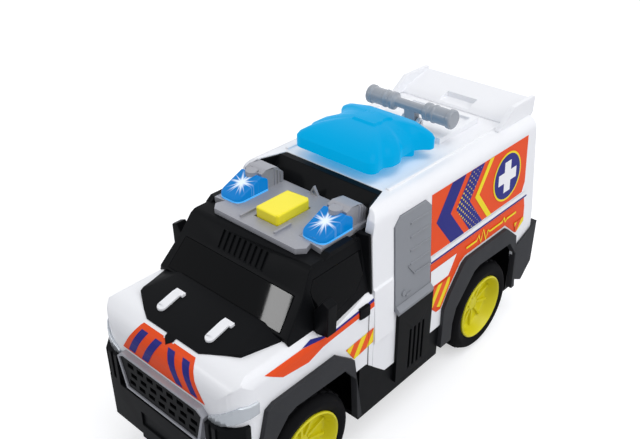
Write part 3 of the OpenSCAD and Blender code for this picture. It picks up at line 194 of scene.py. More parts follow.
def silver_grey_flake():
    """Grey ABS with aluminium flake in it: the brightest flakes are painted lighter into the base colour, a
    painted sparkle that stays the same under any light.
    """
    material, tree, shader, place = new_material("silver_grey_abs_metal_flake", Metallic=0.25)
    tint = surface_of(tree, shader, place, "#a6a7ad", "#97989f", rough=(0.36, 0.46), grain_mm=0.9,
                      depth_mm=0.025)
    flakes = add(tree, "ShaderNodeTexVoronoi", values={"Scale": 1 / (FLAKE_MM * MM)},
                 links={"Vector": (place, "Object")})
    # Only the brightest flakes get the painted sparkle, lightened by a quarter at most
    painted_sparkle = add(tree, "ShaderNodeMapRange",
                values={"From Min": 0.82, "From Max": 1.0, "To Min": 0.0, "To Max": 0.25},
                links={"Value": (flakes, "Color")})
    mix = add(tree, "ShaderNodeMix", {"data_type": "RGBA"}, {MIX_SECOND: linear("#d7d8dc")},
              {MIX_FACTOR: (painted_sparkle, "Result"), MIX_FIRST: (tint, MIX_RESULT)})
    tree.links.new(mix.outputs[MIX_RESULT], shader.inputs["Base Color"])
    return material


def zinc_plated_steel():
    """Zinc-plated steel: grey-white metal, satin and a little uneven."""
    return moulded("zinc_plated_steel", "#cdd0d3", "#b4b7bb", rough=(0.25, 0.38), grain_mm=0.6, depth_mm=0.01,
                   Metallic=1.0)


# Lamps
# Rays in a lit lens as (pairs of rays, turn, sharpness)
LENS_RAYS = ((3.0, 0.4, 14.0), (5.5, 1.3, 26.0))
# How far the rays and the glow between them reach, and how far ahead of the button they start, in mm
RAY_REACH, GLOW_REACH = 11, 5
GLOW_AHEAD = 0.7


def lit_lens():
    """Blue polycarbonate lens lit by the diode under it: white in the middle, rays along its prisms."""
    material, tree, shader, place = new_material("blue_polycarbonate_lens_lit", Roughness=0.12,
                                                 Specular_IOR_Level=0.15, Base_Color=linear("#03406e"),
                                                 Emission_Strength=0.95)
    core = Vector((LAMP_X, BUTTON_Y - GLOW_AHEAD, 0)) * MM
    split = add(tree, "ShaderNodeSeparateXYZ", links={"Vector": (place, "Object")})
    side = add(tree, "ShaderNodeMath", {"operation": "ABSOLUTE"}, links={0: (split, "X")})
    across = add(tree, "ShaderNodeMath", {"operation": "SUBTRACT"}, {1: core.x}, {0: (side, 0)})
    back = add(tree, "ShaderNodeMath", {"operation": "SUBTRACT"}, {1: core.y}, {0: (split, "Y")})
    flat = add(tree, "ShaderNodeCombineXYZ", links={"X": (across, 0), "Y": (back, 0)})
    reach = add(tree, "ShaderNodeVectorMath", {"operation": "LENGTH"}, links={0: (flat, 0)})
    turn = add(tree, "ShaderNodeMath", {"operation": "ARCTAN2"}, links={0: (back, 0), 1: (across, 0)})
    beams = []
    for pairs, start, sharpness in LENS_RAYS:
        angle = add(tree, "ShaderNodeMath", {"operation": "MULTIPLY_ADD"}, {1: pairs, 2: start},
                    {0: (turn, 0)})
        wave = add(tree, "ShaderNodeMath", {"operation": "COSINE"}, links={0: (angle, 0)})
        size = add(tree, "ShaderNodeMath", {"operation": "ABSOLUTE"}, links={0: (wave, 0)})
        beams.append(add(tree, "ShaderNodeMath", {"operation": "POWER"}, {1: sharpness}, {0: (size, 0)}))
    rays = add(tree, "ShaderNodeMath", {"operation": "MAXIMUM"},
               links={i: (beam, 0) for i, beam in enumerate(beams)})
    length = add(tree, "ShaderNodeMapRange", values={"To Min": GLOW_REACH * MM, "To Max": RAY_REACH * MM},
                 links={"Value": (rays, 0)})
    share = add(tree, "ShaderNodeMath", {"operation": "DIVIDE"},
                links={0: (reach, "Value"), 1: (length, "Result")})
    glow = add(tree, "ShaderNodeMapRange", {"interpolation_type": "SMOOTHERSTEP"},
               {"From Min": 1.0, "From Max": 0.12, "To Min": 0.0, "To Max": 1.0}, {"Value": (share, 0)})
    tint = add(tree, "ShaderNodeMix", {"data_type": "RGBA"},
               {MIX_FIRST: linear("#0070b8"), MIX_SECOND: linear("#f4fbff")}, {MIX_FACTOR: (glow, "Result")})
    tree.links.new(tint.outputs[MIX_RESULT], shader.inputs["Emission Color"])
    return material


def lit_lens_foot():
    """The lens's foot, where its own light comes out: pale blue."""
    return moulded("blue_polycarbonate_lens_edge", "#3a9fe6", "#2f93dc", rough=(0.15, 0.25), grain_mm=2,
                   depth_mm=0.01, Emission_Color=linear("#58b4f4"), Emission_Strength=0.6)


def dome_plastic():
    """Tinted translucent polycarbonate with the lamp on inside: an even, soft cyan."""
    return moulded("cyan_polycarbonate_translucent", "#005570", "#004c68", rough=(0.24, 0.34), grain_mm=7,
                   depth_mm=0.01, IOR=1.58, Specular_IOR_Level=0.03, Emission_Color=linear("#009fd8"),
                   Emission_Strength=0.9)


def clear_epoxy():
    """Clear cast epoxy of the diodes, lit from inside: a pale blue-white glow."""
    return moulded("clear_epoxy_diode_lit", "#d9efff", "#c6e6ff", rough=(0.08, 0.15), grain_mm=2,
                   depth_mm=0.01, Emission_Color=linear("#bfe6ff"), Emission_Strength=1.5)


def add_rows(tree, shader, place, direction, pitch_mm, depth_mm, strength):
    """Moulded rows across a direction, in place of the grain."""
    rows = add(tree, "ShaderNodeTexWave", {"bands_direction": direction},
               {"Scale": WAVE_LENGTH / (pitch_mm * MM)}, {"Vector": (place, "Object")})
    bump = add(tree, "ShaderNodeBump", values={"Strength": strength, "Distance": depth_mm * MM},
               links={"Height": (rows, "Fac")})
    tree.links.new(bump.outputs["Normal"], shader.inputs["Normal"])


def red_lens():
    """Red tinted polystyrene with moulded prism rows: bright lines about 4 mm apart."""
    material, tree, shader, place = new_material("red_polystyrene_prism_lens")
    surface_of(tree, shader, place, "#c41f25", "#a8161c", rough=(0.12, 0.2), grain_mm=3, depth_mm=0.01)
    add_rows(tree, shader, place, "Z", pitch_mm=3.95, depth_mm=0.3, strength=0.5)
    return material


def headlight_plastic():
    """Silver-lacquered polystyrene with upright flutes about 3 mm apart: bright, striped gloss."""
    material, tree, shader, place = new_material("silver_lacquered_polystyrene", Metallic=0.6)
    surface_of(tree, shader, place, "#d8dde2", "#c3c9cf", rough=(0.15, 0.25), grain_mm=2, depth_mm=0.01)
    add_rows(tree, shader, place, "X", pitch_mm=2.96, depth_mm=0.2, strength=0.4)
    return material


# Vinyl
NAVY_INK, YELLOW_INK = "#2b2f87", "#f6e02c"
FILM_ROUGH, FILM_SPREAD, FILM_SHINE = 0.34, 0.04, 0.1
# Hatched bars: one every HATCH_MM, and the share of it that is orange
HATCH_MM = 11
HATCH_ORANGE = 0.56
# Radius of the first and the last printed dots, as a share of their pitch
DOT_LARGE, DOT_SMALL = 0.42, 0.05


def vinyl(name, colour, shade):
    """Printed self-adhesive vinyl: flat ink under a thin gloss film."""
    return moulded("vinyl_film_" + name, colour, shade,
                   rough=(FILM_ROUGH - FILM_SPREAD, FILM_ROUGH + FILM_SPREAD), grain_mm=12, depth_mm=0.003,
                   Specular_IOR_Level=FILM_SHINE)


def hatch_vinyl(name, axis, lean):
    """Slanted hi-vis bars, yellow on orange, mirrored about the object's middle plane."""
    material, tree, shader, place = new_material("vinyl_film_" + name, Roughness=FILM_ROUGH,
                                                 Specular_IOR_Level=FILM_SHINE)
    split = add(tree, "ShaderNodeSeparateXYZ", links={"Vector": (place, "Object")})
    along = (split, axis)
    if axis == "X":
        along = (add(tree, "ShaderNodeMath", {"operation": "ABSOLUTE"}, links={0: along}), 0)
    slant = add(tree, "ShaderNodeMath", {"operation": "MULTIPLY_ADD"}, {1: lean}, {0: (split, "Z"), 2: along})
    cell = add(tree, "ShaderNodeMath", {"operation": "DIVIDE"}, {1: HATCH_MM * MM}, {0: (slant, 0)})
    phase = add(tree, "ShaderNodeMath", {"operation": "FRACT"}, links={0: (cell, 0)})
    bar = add(tree, "ShaderNodeMath", {"operation": "GREATER_THAN"}, {1: HATCH_ORANGE}, {0: (phase, 0)})
    tint = add(tree, "ShaderNodeMix", {"data_type": "RGBA"},
               {MIX_FIRST: linear("#ee5a24"), MIX_SECOND: linear("#f4d928")}, {MIX_FACTOR: (bar, 0)})
    tree.links.new(tint.outputs[MIX_RESULT], shader.inputs["Base Color"])
    return material


def dotted_vinyl(name, ground, dot, pitch_mm, start_mm, end_mm):
    """Printed dots on a 45 degree screen that shrink from start to end along the body."""
    material, tree, shader, place = new_material("vinyl_film_" + name, Roughness=FILM_ROUGH,
                                                 Specular_IOR_Level=FILM_SHINE)
    turned = add(tree, "ShaderNodeMapping", values={"Rotation": (math.radians(45), 0, 0)},
                 links={"Vector": (place, "Object")})
    scaled = add(tree, "ShaderNodeVectorMath", {"operation": "SCALE"}, {"Scale": 1 / (pitch_mm * MM)},
                 {0: (turned, 0)})
    cell = add(tree, "ShaderNodeVectorMath", {"operation": "FRACTION"}, links={0: (scaled, 0)})
    offset = add(tree, "ShaderNodeVectorMath", {"operation": "SUBTRACT"}, {1: (0.5, 0.5, 0.5)},
                 {0: (cell, 0)})
    flat = add(tree, "ShaderNodeVectorMath", {"operation": "MULTIPLY"}, {1: (0, 1, 1)}, {0: (offset, 0)})
    reach = add(tree, "ShaderNodeVectorMath", {"operation": "LENGTH"}, links={0: (flat, 0)})
    split = add(tree, "ShaderNodeSeparateXYZ", links={"Vector": (place, "Object")})
    size = add(tree, "ShaderNodeMapRange",
               values={"From Min": start_mm * MM, "From Max": end_mm * MM, "To Min": DOT_LARGE,
                       "To Max": DOT_SMALL},
               links={"Value": (split, "Y")})
    inside = add(tree, "ShaderNodeMath", {"operation": "LESS_THAN"},
                 links={0: (reach, "Value"), 1: (size, "Result")})
    tint = add(tree, "ShaderNodeMix", {"data_type": "RGBA"},
               {MIX_FIRST: linear(ground), MIX_SECOND: linear(dot)}, {MIX_FACTOR: (inside, 0)})
    tree.links.new(tint.outputs[MIX_RESULT], shader.inputs["Base Color"])
    return material


FINISH = make_plastics()
FINISH["silver_grey_plastic"] = silver_grey_flake()
FINISH["steel"] = zinc_plated_steel()
FINISH["blue_lens"] = lit_lens()
FINISH["blue_dome"] = dome_plastic()
FINISH["led"] = clear_epoxy()
FINISH["red_lens"] = red_lens()
FINISH["headlight_plastic"] = headlight_plastic()
LENS_FOOT_FINISH = lit_lens_foot()
# Mid grey ABS of the mast, polished: glossier than the roller panels, and with its colour painted lighter
# than theirs as a painted highlight
MAST_GREY_PAINTED_LIGHTER = moulded("mid_grey_abs_polished_painted_highlight", "#a2a7ae", "#969ba3", rough=(0.22, 0.3), grain_mm=3,
                    depth_mm=0.02, Specular_IOR_Level=0.5)

ORANGE = vinyl("orange", "#ee5423", "#e94e1f")
NAVY = vinyl("navy", NAVY_INK, "#272a7c")
YELLOW = vinyl("yellow", YELLOW_INK, "#f1d922")
PAPER = vinyl("white", "#f4f5f8", "#f0f1f4")
HATCH = hatch_vinyl("hatched", "Y", lean=-0.62)
REAR_HATCH = hatch_vinyl("hatched_rear", "X", lean=0.8)
DOTS = dotted_vinyl("dotted", NAVY_INK, YELLOW_INK, pitch_mm=3.0, start_mm=20, end_mm=74)
# Black gloss film of the blind door windows, also laid along the cab door seams as thin lines of painted
# shade
BLACK_FILM_AND_SEAM_SHADE = moulded("vinyl_film_black_gloss_and_seam_shade", "#0d0e10", "#0a0b0c", rough=(0.06, 0.1), grain_mm=12,
                     depth_mm=0.002, Specular_IOR_Level=FILM_SHINE)

# Each CAD piece takes its slot's finish; the mast takes the lighter copy of the mid grey, which paints a
# highlight
for name, piece in NODES.items():
    piece.data.materials.clear()
    piece.data.materials.append(MAST_GREY_PAINTED_LIGHTER if name == "mast_bar" else FINISH[SLOT_OF[name]])

# An edge that turns by more than SHARP_ANGLE is rounded, and one past SMOOTH_ANGLE is shaded as an edge
SHARP_ANGLE = math.radians(40)
SMOOTH_ANGLE = math.radians(32)
# Corners of a CAD mesh that are closer than this are one, in mm
MERGE_MM = 0.004


# Modelling by hand
def alone(piece):
    """Selects just this piece and makes it the active one."""
    bpy.ops.object.select_all(action="DESELECT")
    piece.select_set(True)
    bpy.context.view_layer.objects.active = piece


def start_flat(points):
    """A new flat piece with the given corners, in mm."""
    bpy.ops.object.select_all(action="DESELECT")
    bpy.ops.mesh.primitive_circle_add(vertices=len(points), radius=MM, fill_type="NGON")
    piece = bpy.context.object
    for corner, point in zip(piece.data.vertices, points):
        corner.co = [part * MM for part in point]
    return piece


def start_block(size, place, edge_mm):
    """A new block with rounded edges, of a size and at a place in mm, left in edit mode and selected."""
    bpy.ops.object.select_all(action="DESELECT")
    bpy.ops.mesh.primitive_cube_add(size=MM)
    piece = bpy.context.object
    bpy.ops.object.mode_set(mode="EDIT")
    bpy.ops.mesh.select_all(action="SELECT")
    bpy.ops.transform.resize(value=size)
    bpy.ops.mesh.bevel(offset=edge_mm * MM, segments=2, affect="EDGES")
    bpy.ops.mesh.select_all(action="SELECT")
    bpy.ops.transform.translate(value=place * MM)
    return piece


def pick_edges(piece, test, angle=SHARP_ANGLE):
    """In edit mode, selects the sharp edges whose middle, in mm, passes the test."""
    bm = bmesh.from_edit_mesh(piece.data)
    for edge in bm.edges:
        edge.select_set(False)
    picked = [e for e in bm.edges if len(e.link_faces) == 2 and e.calc_face_angle(0) > angle
              and test((e.verts[0].co + e.verts[1].co) / 2 / MM)]
    for edge in picked:
        edge.select_set(True)
    bmesh.update_edit_mesh(piece.data)
    return picked


def round_edges(piece, width_mm, segments, clamp):
    """Rounds all sharp edges of the active piece; clamp stops a round where it would meet the next one."""
    edge = piece.modifiers.new("edge", "BEVEL")
    edge.width = width_mm * MM
    edge.segments = segments
    edge.limit_method = "ANGLE"
    edge.angle_limit = SHARP_ANGLE
    edge.use_clamp_overlap = clamp
    bpy.ops.object.modifier_apply(modifier="edge")


def name_piece(piece, name):
    """Names a piece and its mesh alike."""
    piece.name = name
    piece.data.name = name


def settle(piece, body):
    """Lets a piece ride on a body."""
    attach(piece, body)


def stand_for(piece, node):
    """Lets a piece take a CAD piece's place, on its body."""
    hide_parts(node)
    settle(piece, BODY_OF[node])


def moulded_copy(node, edge_mm=0, rounds=()):
    """A copy of a CAD piece with rounded edges and evenly shaded flat faces, as it leaves its mould.
    rounds lists (test, radius in mm, segments) for edges that are rounder than the rest."""
    piece = bpy.data.objects.new(node + "_moulded", NODES[node].data.copy())
    bpy.context.scene.collection.objects.link(piece)
    alone(piece)
    bpy.ops.object.mode_set(mode="EDIT")
    bpy.ops.mesh.select_mode(type="EDGE")
    bpy.ops.mesh.select_all(action="SELECT")
    bpy.ops.mesh.remove_doubles(threshold=MERGE_MM * MM)
    bpy.ops.mesh.customdata_custom_splitnormals_clear()
    for test, radius, segments in rounds:
        if pick_edges(piece, test):
            bpy.ops.mesh.bevel(offset=radius * MM, segments=segments, affect="EDGES", clamp_overlap=False)
    bpy.ops.object.mode_set(mode="OBJECT")
    if edge_mm:
        round_edges(piece, edge_mm, segments=2, clamp=False)
    bpy.ops.object.shade_smooth_by_angle(angle=SMOOTH_ANGLE)
    flat = piece.modifiers.new("flat", "WEIGHTED_NORMAL")
    flat.keep_sharp = True
    bpy.ops.object.modifier_apply(modifier="flat")
    stand_for(piece, node)
    return piece


# Rounded edges, in mm, and the pieces that have them
EDGES = {
    0.6: ("rear_bumper", "mirror_left", "mirror_right"),
    0.5: ("cab_shell", "cab_upper", "hood_panel", "front_bumper", "box_shell", "roof_spoiler",
          "front_flare_left", "front_flare_right", "rear_flare_left", "rear_flare_right"),
    0.4: ("mast_base",),
    0.35: ("hood_tabs",),
    0.3: ("locker_left", "locker_right", "locker_vent_left", "locker_vent_right", "door_handles", "light_bar",
          "battery_cover", "tail_lamps", "mast_bar", "rear_door_left", "rear_door_right"),
    0.25: ("windshield", "side_window_left", "side_window_right", "grille_frame", "light_button",
           "front_rim_left", "front_rim_right", "rear_rim_left", "rear_rim_right"),
    0.2: ("grille", "headlight_left", "headlight_right"),
}
# The button's cap, in mm: its corners lie outside the half sizes, and its rim within CAP_RIM of its top
CAP_HALF_WIDTH, CAP_HALF_LENGTH = 8, 12.5
CAP_DEPTH, CAP_RIM = 9, 0.5
CAP_CORNER_ROUND, CAP_RIM_ROUND = 2.0, 0.9


def on_cap_corner(middle):
    """Whether an edge's middle is on an upright corner of the button's cap."""
    return (abs(middle.x) > CAP_HALF_WIDTH and abs(middle.y - BUTTON_Y) > CAP_HALF_LENGTH
            and BUTTON_HIGH.z - CAP_DEPTH < middle.z < BUTTON_HIGH.z - CAP_RIM)


def on_cap_rim(middle):
    """Whether an edge's middle is on the rim of the button's top."""
    return middle.z > BUTTON_HIGH.z - CAP_RIM


ROUNDS = {"light_button": [(on_cap_corner, CAP_CORNER_ROUND, 4), (on_cap_rim, CAP_RIM_ROUND, 3)]}
for width, names in EDGES.items():
    for name in names:
        moulded_copy(name, width, ROUNDS.get(name, ()))

# The lamp lenses, in mm: wedges that rise to the cowl and fit round its nose, with a pale lit foot
LENS_HALF = (LENS_HIGH.x - LENS_LOW.x) / 2
LENS_REACH = (LENS_HIGH.y - LENS_LOW.y) / 2
LENS_SUNK = 1
LENS_FRONT_RISE, LENS_CREST_RISE, LENS_BACK_RISE = 2.5, 10.4, 7.4
LENS_WALL, LENS_CREST_INSET = 1.35, 5
LENS_CREST = LENS_REACH - LENS_CREST_INSET
LENS_CORNER, LENS_ROUND, LENS_FOOT = 4.5, 1.2, 0.9
LENS_SHARP_ANGLE = math.radians(50)
COWL_HALF, COWL_FRONT = LENS_HALF - LENS_WALL, 8.35
COWL_NOSE_MIDDLE, COWL_NOSE_RADIUS, COWL_NOSE_STEPS = 7.7, 4.2, 10
# A lens's outer rim starts above the bar, stays clear of the cowl and ends past the crest by these
RIM_ABOVE, RIM_CLEAR, RIM_PAST = 1, 0.3, 3
# Corners this close to the front edge are on it
FRONT_MARGIN = 0.1
SEAT_EDGE = 0.1


def lens_outline():
    """Plan of a lens about the lamp's middle, from its front edge round to the slot for the cowl."""
    nose = [(COWL_NOSE_RADIUS * math.cos(a), COWL_NOSE_MIDDLE - COWL_NOSE_RADIUS * math.sin(a))
            for a in (math.pi * i / COWL_NOSE_STEPS for i in range(COWL_NOSE_STEPS + 1))]
    right = [(LENS_HALF, -LENS_REACH), (LENS_HALF, LENS_REACH), (COWL_HALF, LENS_REACH),
             (COWL_HALF, COWL_FRONT), (COWL_NOSE_RADIUS, COWL_FRONT)]
    return right + nose + [(-x, y) for x, y in right[::-1]]


def lamp_lens(sign, node):
    """A lit lens, cut from its plan by the two slopes of its top."""
    top = LENS_LOW.z + LENS_SUNK

    def on_rim(middle):
        """Whether an edge's middle is on the lens's outer rim."""
        beside = abs(abs(middle.x) - LAMP_X) > COWL_HALF + RIM_CLEAR
        ahead = middle.y < BUTTON_Y - LENS_REACH / 2
        before_back = middle.y < BUTTON_Y + LENS_CREST + RIM_PAST
        return middle.z > top + RIM_ABOVE and (beside or ahead) and before_back

    piece = start_flat([(sign * (LAMP_X + across), BUTTON_Y + back, LENS_LOW.z)
                        for across, back in lens_outline()])
    name_piece(piece, node + "_moulded")
    bpy.ops.object.mode_set(mode="EDIT")
    bpy.ops.mesh.select_mode(type="VERT")
    bm = bmesh.from_edit_mesh(piece.data)
    for corner in bm.verts:
        corner.select_set(corner.co.y < (LENS_LOW.y + FRONT_MARGIN) * MM)
    bmesh.update_edit_mesh(piece.data)
    bpy.ops.mesh.bevel(offset=LENS_CORNER * MM, segments=6, affect="VERTICES")
    bpy.ops.mesh.select_all(action="SELECT")
    bpy.ops.mesh.extrude_region_move(TRANSFORM_OT_translate={"value": (0, 0, 2 * LENS_CREST_RISE * MM)})
    front = Vector((0, -LENS_REACH, LENS_FRONT_RISE))
    crest = Vector((0, LENS_CREST, LENS_CREST_RISE))
    back = Vector((0, LENS_REACH, LENS_BACK_RISE))
    for low_end, high_end in ((front, crest), (crest, back)):
        run = (high_end - low_end).normalized()
        bpy.ops.mesh.select_all(action="SELECT")
        bpy.ops.mesh.bisect(plane_co=(crest + Vector((0, BUTTON_Y, top))) * MM, plane_no=(0, -run.z, run.y),
                            use_fill=True, clear_outer=True)
    bpy.ops.mesh.select_all(action="SELECT")
    bpy.ops.mesh.normals_make_consistent(inside=False)
    bpy.ops.mesh.select_mode(type="EDGE")
    pick_edges(piece, on_rim, LENS_SHARP_ANGLE)
    bpy.ops.mesh.bevel(offset=LENS_ROUND * MM, segments=4, affect="EDGES")
    bpy.ops.mesh.select_all(action="SELECT")
    bpy.ops.mesh.bisect(plane_co=(0, 0, (top + LENS_FOOT) * MM), plane_no=(0, 0, 1))
    bpy.ops.object.mode_set(mode="OBJECT")
    piece.data.materials.append(FINISH["blue_lens"])
    piece.data.materials.append(LENS_FOOT_FINISH)
    for face in piece.data.polygons:
        face.material_index = 1 if face.center.z < (top + LENS_FOOT) * MM else 0
    bpy.ops.object.shade_smooth_by_angle(angle=SMOOTH_ANGLE)
    stand_for(piece, node)


def lens_seat(sign, name):
    """Flush plate that closes the light bar's square pocket at the lens's round corners."""
    place = Vector((sign * LAMP_X, BUTTON_Y - LENS_REACH / 2, LENS_LOW.z + LENS_SUNK / 2))
    seat = start_block((2 * LENS_HALF, LENS_REACH, LENS_SUNK), place, SEAT_EDGE)
    name_piece(seat, name)
    bpy.ops.object.mode_set(mode="OBJECT")
    bpy.ops.object.shade_smooth_by_angle(angle=SMOOTH_ANGLE)
    seat.data.materials.append(FINISH["silver_grey_plastic"])
    settle(seat, BODY_OF["light_bar"])


for sign, side in SIDES:
    lamp_lens(sign, "lamp_lens_" + side)
    lens_seat(sign, "lens_seat_" + side)

# The roof dome: a lobed mound that draws in, level by level, to a raised pad, in mm from its front edge
DOME_COLLAR = 7
DOME_MIDDLE = 40
DOME_EDGE = [(26, 0), (29.4, 1.4), (30.6, 4.5), (28.8, 12), (32, 16.5), (32, 24), (28.4, 30), (28, 41),
             (31, 46), (35.4, 49.5), (35.4, 54), (29, 57), (21, 60)]
# Rise of each level and the share of the outline below it
DOME_LEVELS = [(6.5, 1), (2.2, 0.96), (2.4, 0.88), (2, 0.8), (1, 0.74), (0.4, 0.72), (0, 0.85), (1.2, 0.9)]
COLLAR_LEVELS = [(0, 0.68), (-DOME_COLLAR, 1)]
DOME_LOBE_ROUND, DOME_EDGE_ROUND = 1.8, 0.7


def draw_levels(levels, centre):
    """Extrudes the selected face by each rise and draws it in by each share."""
    for rise, share in levels:
        bpy.ops.mesh.extrude_region_move(TRANSFORM_OT_translate={"value": (0, 0, rise * MM)})
        bpy.ops.transform.resize(value=(share, share, 1), center_override=centre)


def roof_dome():
    """The dome, drawn up from its outline, and its collar, drawn down from the underside."""
    outline = DOME_EDGE + [(-x, y) for x, y in DOME_EDGE[::-1]]
    foot = DOME_LOW.z + DOME_COLLAR
    centre = Vector((0, DOME_LOW.y + DOME_MIDDLE, foot)) * MM
    piece = start_flat([(x, DOME_LOW.y + y, foot) for x, y in outline])
    name_piece(piece, "light_dome_moulded")
    bpy.ops.object.mode_set(mode="EDIT")
    bpy.ops.mesh.select_all(action="SELECT")
    bpy.ops.mesh.bevel(offset=DOME_LOBE_ROUND * MM, segments=4, affect="VERTICES")
    bpy.ops.mesh.select_mode(type="FACE")
    bpy.ops.mesh.select_all(action="SELECT")
    draw_levels(DOME_LEVELS, centre)
    bm = bmesh.from_edit_mesh(piece.data)
    lowest = min(bm.faces, key=lambda face: face.calc_center_median().z)
    for face in bm.faces:
        face.select_set(face == lowest)
    bmesh.update_edit_mesh(piece.data)
    draw_levels(COLLAR_LEVELS, centre)
    bpy.ops.mesh.select_all(action="SELECT")
    bpy.ops.mesh.normals_make_consistent(inside=False)
    bpy.ops.object.mode_set(mode="OBJECT")
    round_edges(piece, DOME_EDGE_ROUND, segments=3, clamp=True)
    bpy.ops.object.shade_smooth_by_angle(angle=SMOOTH_ANGLE)
    piece.data.materials.append(FINISH["blue_dome"])
    stand_for(piece, "light_dome")


roof_dome()


# The button's spring
def pressed_spring():
    """The coil spring, a moulded copy of its CAD piece with a mesh of its own."""
    spring = moulded_copy("button_spring")
    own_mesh(spring)


pressed_spring()

# Tyre treads: two staggered rows of blocks round a carcass that is drawn in under them, in mm
TREAD_BLOCKS = 26
TREAD_DEPTH = 1.0
TREAD_ZONE = 3.2
BLOCK_LENGTH, BLOCK_WIDTH, BLOCK_HEIGHT = 5.2, 6.4, 2.0
BLOCK_EDGE, BLOCK_SUNK = 0.4, 0.15
ROW_OFFSET = 3.7


def sink_tread(tyre, axle, radius):
    """Draws the tread's corners in by the depth of the grooves."""
    alone(tyre)
    bpy.ops.object.mode_set(mode="EDIT")
    bpy.ops.mesh.select_mode(type="VERT")
    bpy.ops.mesh.select_all(action="DESELECT")
    bm = bmesh.from_edit_mesh(tyre.data)
    for corner in bm.verts:
        reach = math.hypot(corner.co.y - axle.y, corner.co.z - axle.z)
        corner.select_set(reach > (radius - TREAD_ZONE) * MM)
    bmesh.update_edit_mesh(tyre.data)
    share = 1 - TREAD_DEPTH / radius
    bpy.ops.transform.resize(value=(1, share, share), center_override=axle)
    bpy.ops.object.mode_set(mode="OBJECT")


def tread_row(axle, radius, side, start):
    """One row of blocks: a block at the top of the tyre, turned by start and spun round the axle."""
    place = axle / MM + Vector((side * ROW_OFFSET, 0, radius - BLOCK_HEIGHT / 2 - BLOCK_SUNK))
    row = start_block((BLOCK_WIDTH, BLOCK_LENGTH, BLOCK_HEIGHT), place, BLOCK_EDGE)
    bpy.ops.transform.rotate(value=start, orient_axis="X", center_override=axle)
    bpy.ops.mesh.spin(steps=TREAD_BLOCKS - 1, dupli=True, center=axle, axis=(1, 0, 0),
                      angle=2 * math.pi * (TREAD_BLOCKS - 1) / TREAD_BLOCKS)
    bpy.ops.object.mode_set(mode="OBJECT")
    return row


def treaded(node):
    """A tyre and its tread, whose second row stands half a block further round."""
    low, high = low_high(node)
    axle = (low + high) / 2 * MM
    radius = (high.z - low.z) / 2
    sink_tread(moulded_copy(node), axle, radius)
    tread = tread_row(axle, radius, 1, 0)
    second = tread_row(axle, radius, -1, math.pi / TREAD_BLOCKS)
    alone(tread)
    second.select_set(True)
    bpy.ops.object.join()
    name_piece(tread, node.replace("tyre", "tread"))
    tread.data.materials.append(FINISH["tyre"])
    bpy.ops.object.shade_smooth_by_angle(angle=SMOOTH_ANGLE)
    settle(tread, BODY_OF[node])


for axle_end in ("front", "rear"):
    for _, side in SIDES:
        treaded(axle_end + "_tyre_" + side)


# Outlines of cut films, as (along, up) points in mm
def ribbon(points, width):
    """The outline of a line of the given width along points."""
    left, right = [], []
    for i, point in enumerate(points):
        before = Vector(points[max(i - 1, 0)])
        after = Vector(points[min(i + 1, len(points) - 1)])
        way = (after - before).normalized()
        across = Vector((-way.y, way.x)) * width / 2
        left.append(Vector(point) + across)
        right.append(Vector(point) - across)
    return [tuple(p) for p in left + right[::-1]]


def plus(middle, arm, half):
    """A plus sign: one arm's corners, turned a quarter three times."""
    corners = [(half, arm), (half, half), (arm, half)]
    points = []
    for _ in range(4):
        points += [(middle[0] + u, middle[1] + v) for u, v in corners]
        corners = [(v, -u) for u, v in corners]
    return points


def disc(middle, radius, steps=40):
    """A round film."""
    return [(middle[0] + radius * math.cos(a), middle[1] + radius * math.sin(a))
            for a in (2 * math.pi * i / steps for i in range(steps))]


def stripe(front, back, first, last):
    """A level bar between two heights."""
    return [(front, first), (back, first), (back, last), (front, last)]


def chevron(front, depth, width, low, high):
    """A pointed bar across a field, its tip towards the front."""
    middle = (low + high) / 2
    return [(front, middle), (front + depth, high), (front + depth + width, high), (front + width, middle),
            (front + depth + width, low), (front + depth, low)]


# Laying film
def layer(outline, film, height, surface, creases):
    """One cut film: an outline, creased at levels where the surface bends, laid on the surface."""
    piece = start_flat([(0, along, up) for along, up in outline])
    bpy.ops.object.mode_set(mode="EDIT")
    for level in creases:
        bpy.ops.mesh.select_all(action="SELECT")
        bpy.ops.mesh.bisect(plane_co=(0, 0, level * MM), plane_no=(0, 0, 1))
    bpy.ops.object.mode_set(mode="OBJECT")
    for corner in piece.data.vertices:
        corner.co = surface(corner.co.y / MM, corner.co.z / MM, height) * MM
    piece.data.materials.append(film)
    return piece


def cut_vinyl(name, layers, surface, creases=(), first_mm=0.12, step_mm=0.05, film_mm=0.04, body="vehicle"):
    """A sticker made of films laid over each other, joined and given the film's thickness.
    A thick film makes a raised mark of the moulding below it."""
    made = [layer(outline, film, first_mm + step_mm * i, surface, creases)
            for i, (outline, film) in enumerate(layers)]
    alone(made[0])
    for piece in made[1:]:
        piece.select_set(True)
    bpy.ops.object.join()
    piece = bpy.context.object
    name_piece(piece, name)
    bpy.ops.object.mode_set(mode="EDIT")
    bpy.ops.mesh.select_all(action="SELECT")
    bpy.ops.mesh.normals_make_consistent(inside=False)
    bpy.ops.object.mode_set(mode="OBJECT")
    film = piece.modifiers.new("film", "SOLIDIFY")
    film.thickness = film_mm * MM
    film.offset = 0
    bpy.ops.object.modifier_apply(modifier="film")
    settle(piece, body)


def laid_on(node, look):
    """Lays film on a CAD piece seen along look: along and up are square to look, and height runs along
    the face's normal. A point beside the piece goes to the nearest place on it."""
    mesh = NODES[node].data
    faces = BVHTree.FromPolygons([v.co.copy() for v in mesh.vertices], [f.vertices[:] for f in mesh.polygons])

    def place(along, up, height):
        """The point of the film over (along, up), in mm."""
        spot = Vector((along, 0, up)) if look.y else Vector((0, along, up))
        hit, normal, _, _ = faces.ray_cast(spot * MM - look, look)
        if hit is None:
            hit, normal, _, _ = faces.find_nearest(spot * MM - look * CAB_HIGH.x * MM)
        return (hit + normal * height * MM) / MM
    return place


def from_side(sign):
    """The look square to the vehicle's side."""
    return Vector((-sign, 0, 0))


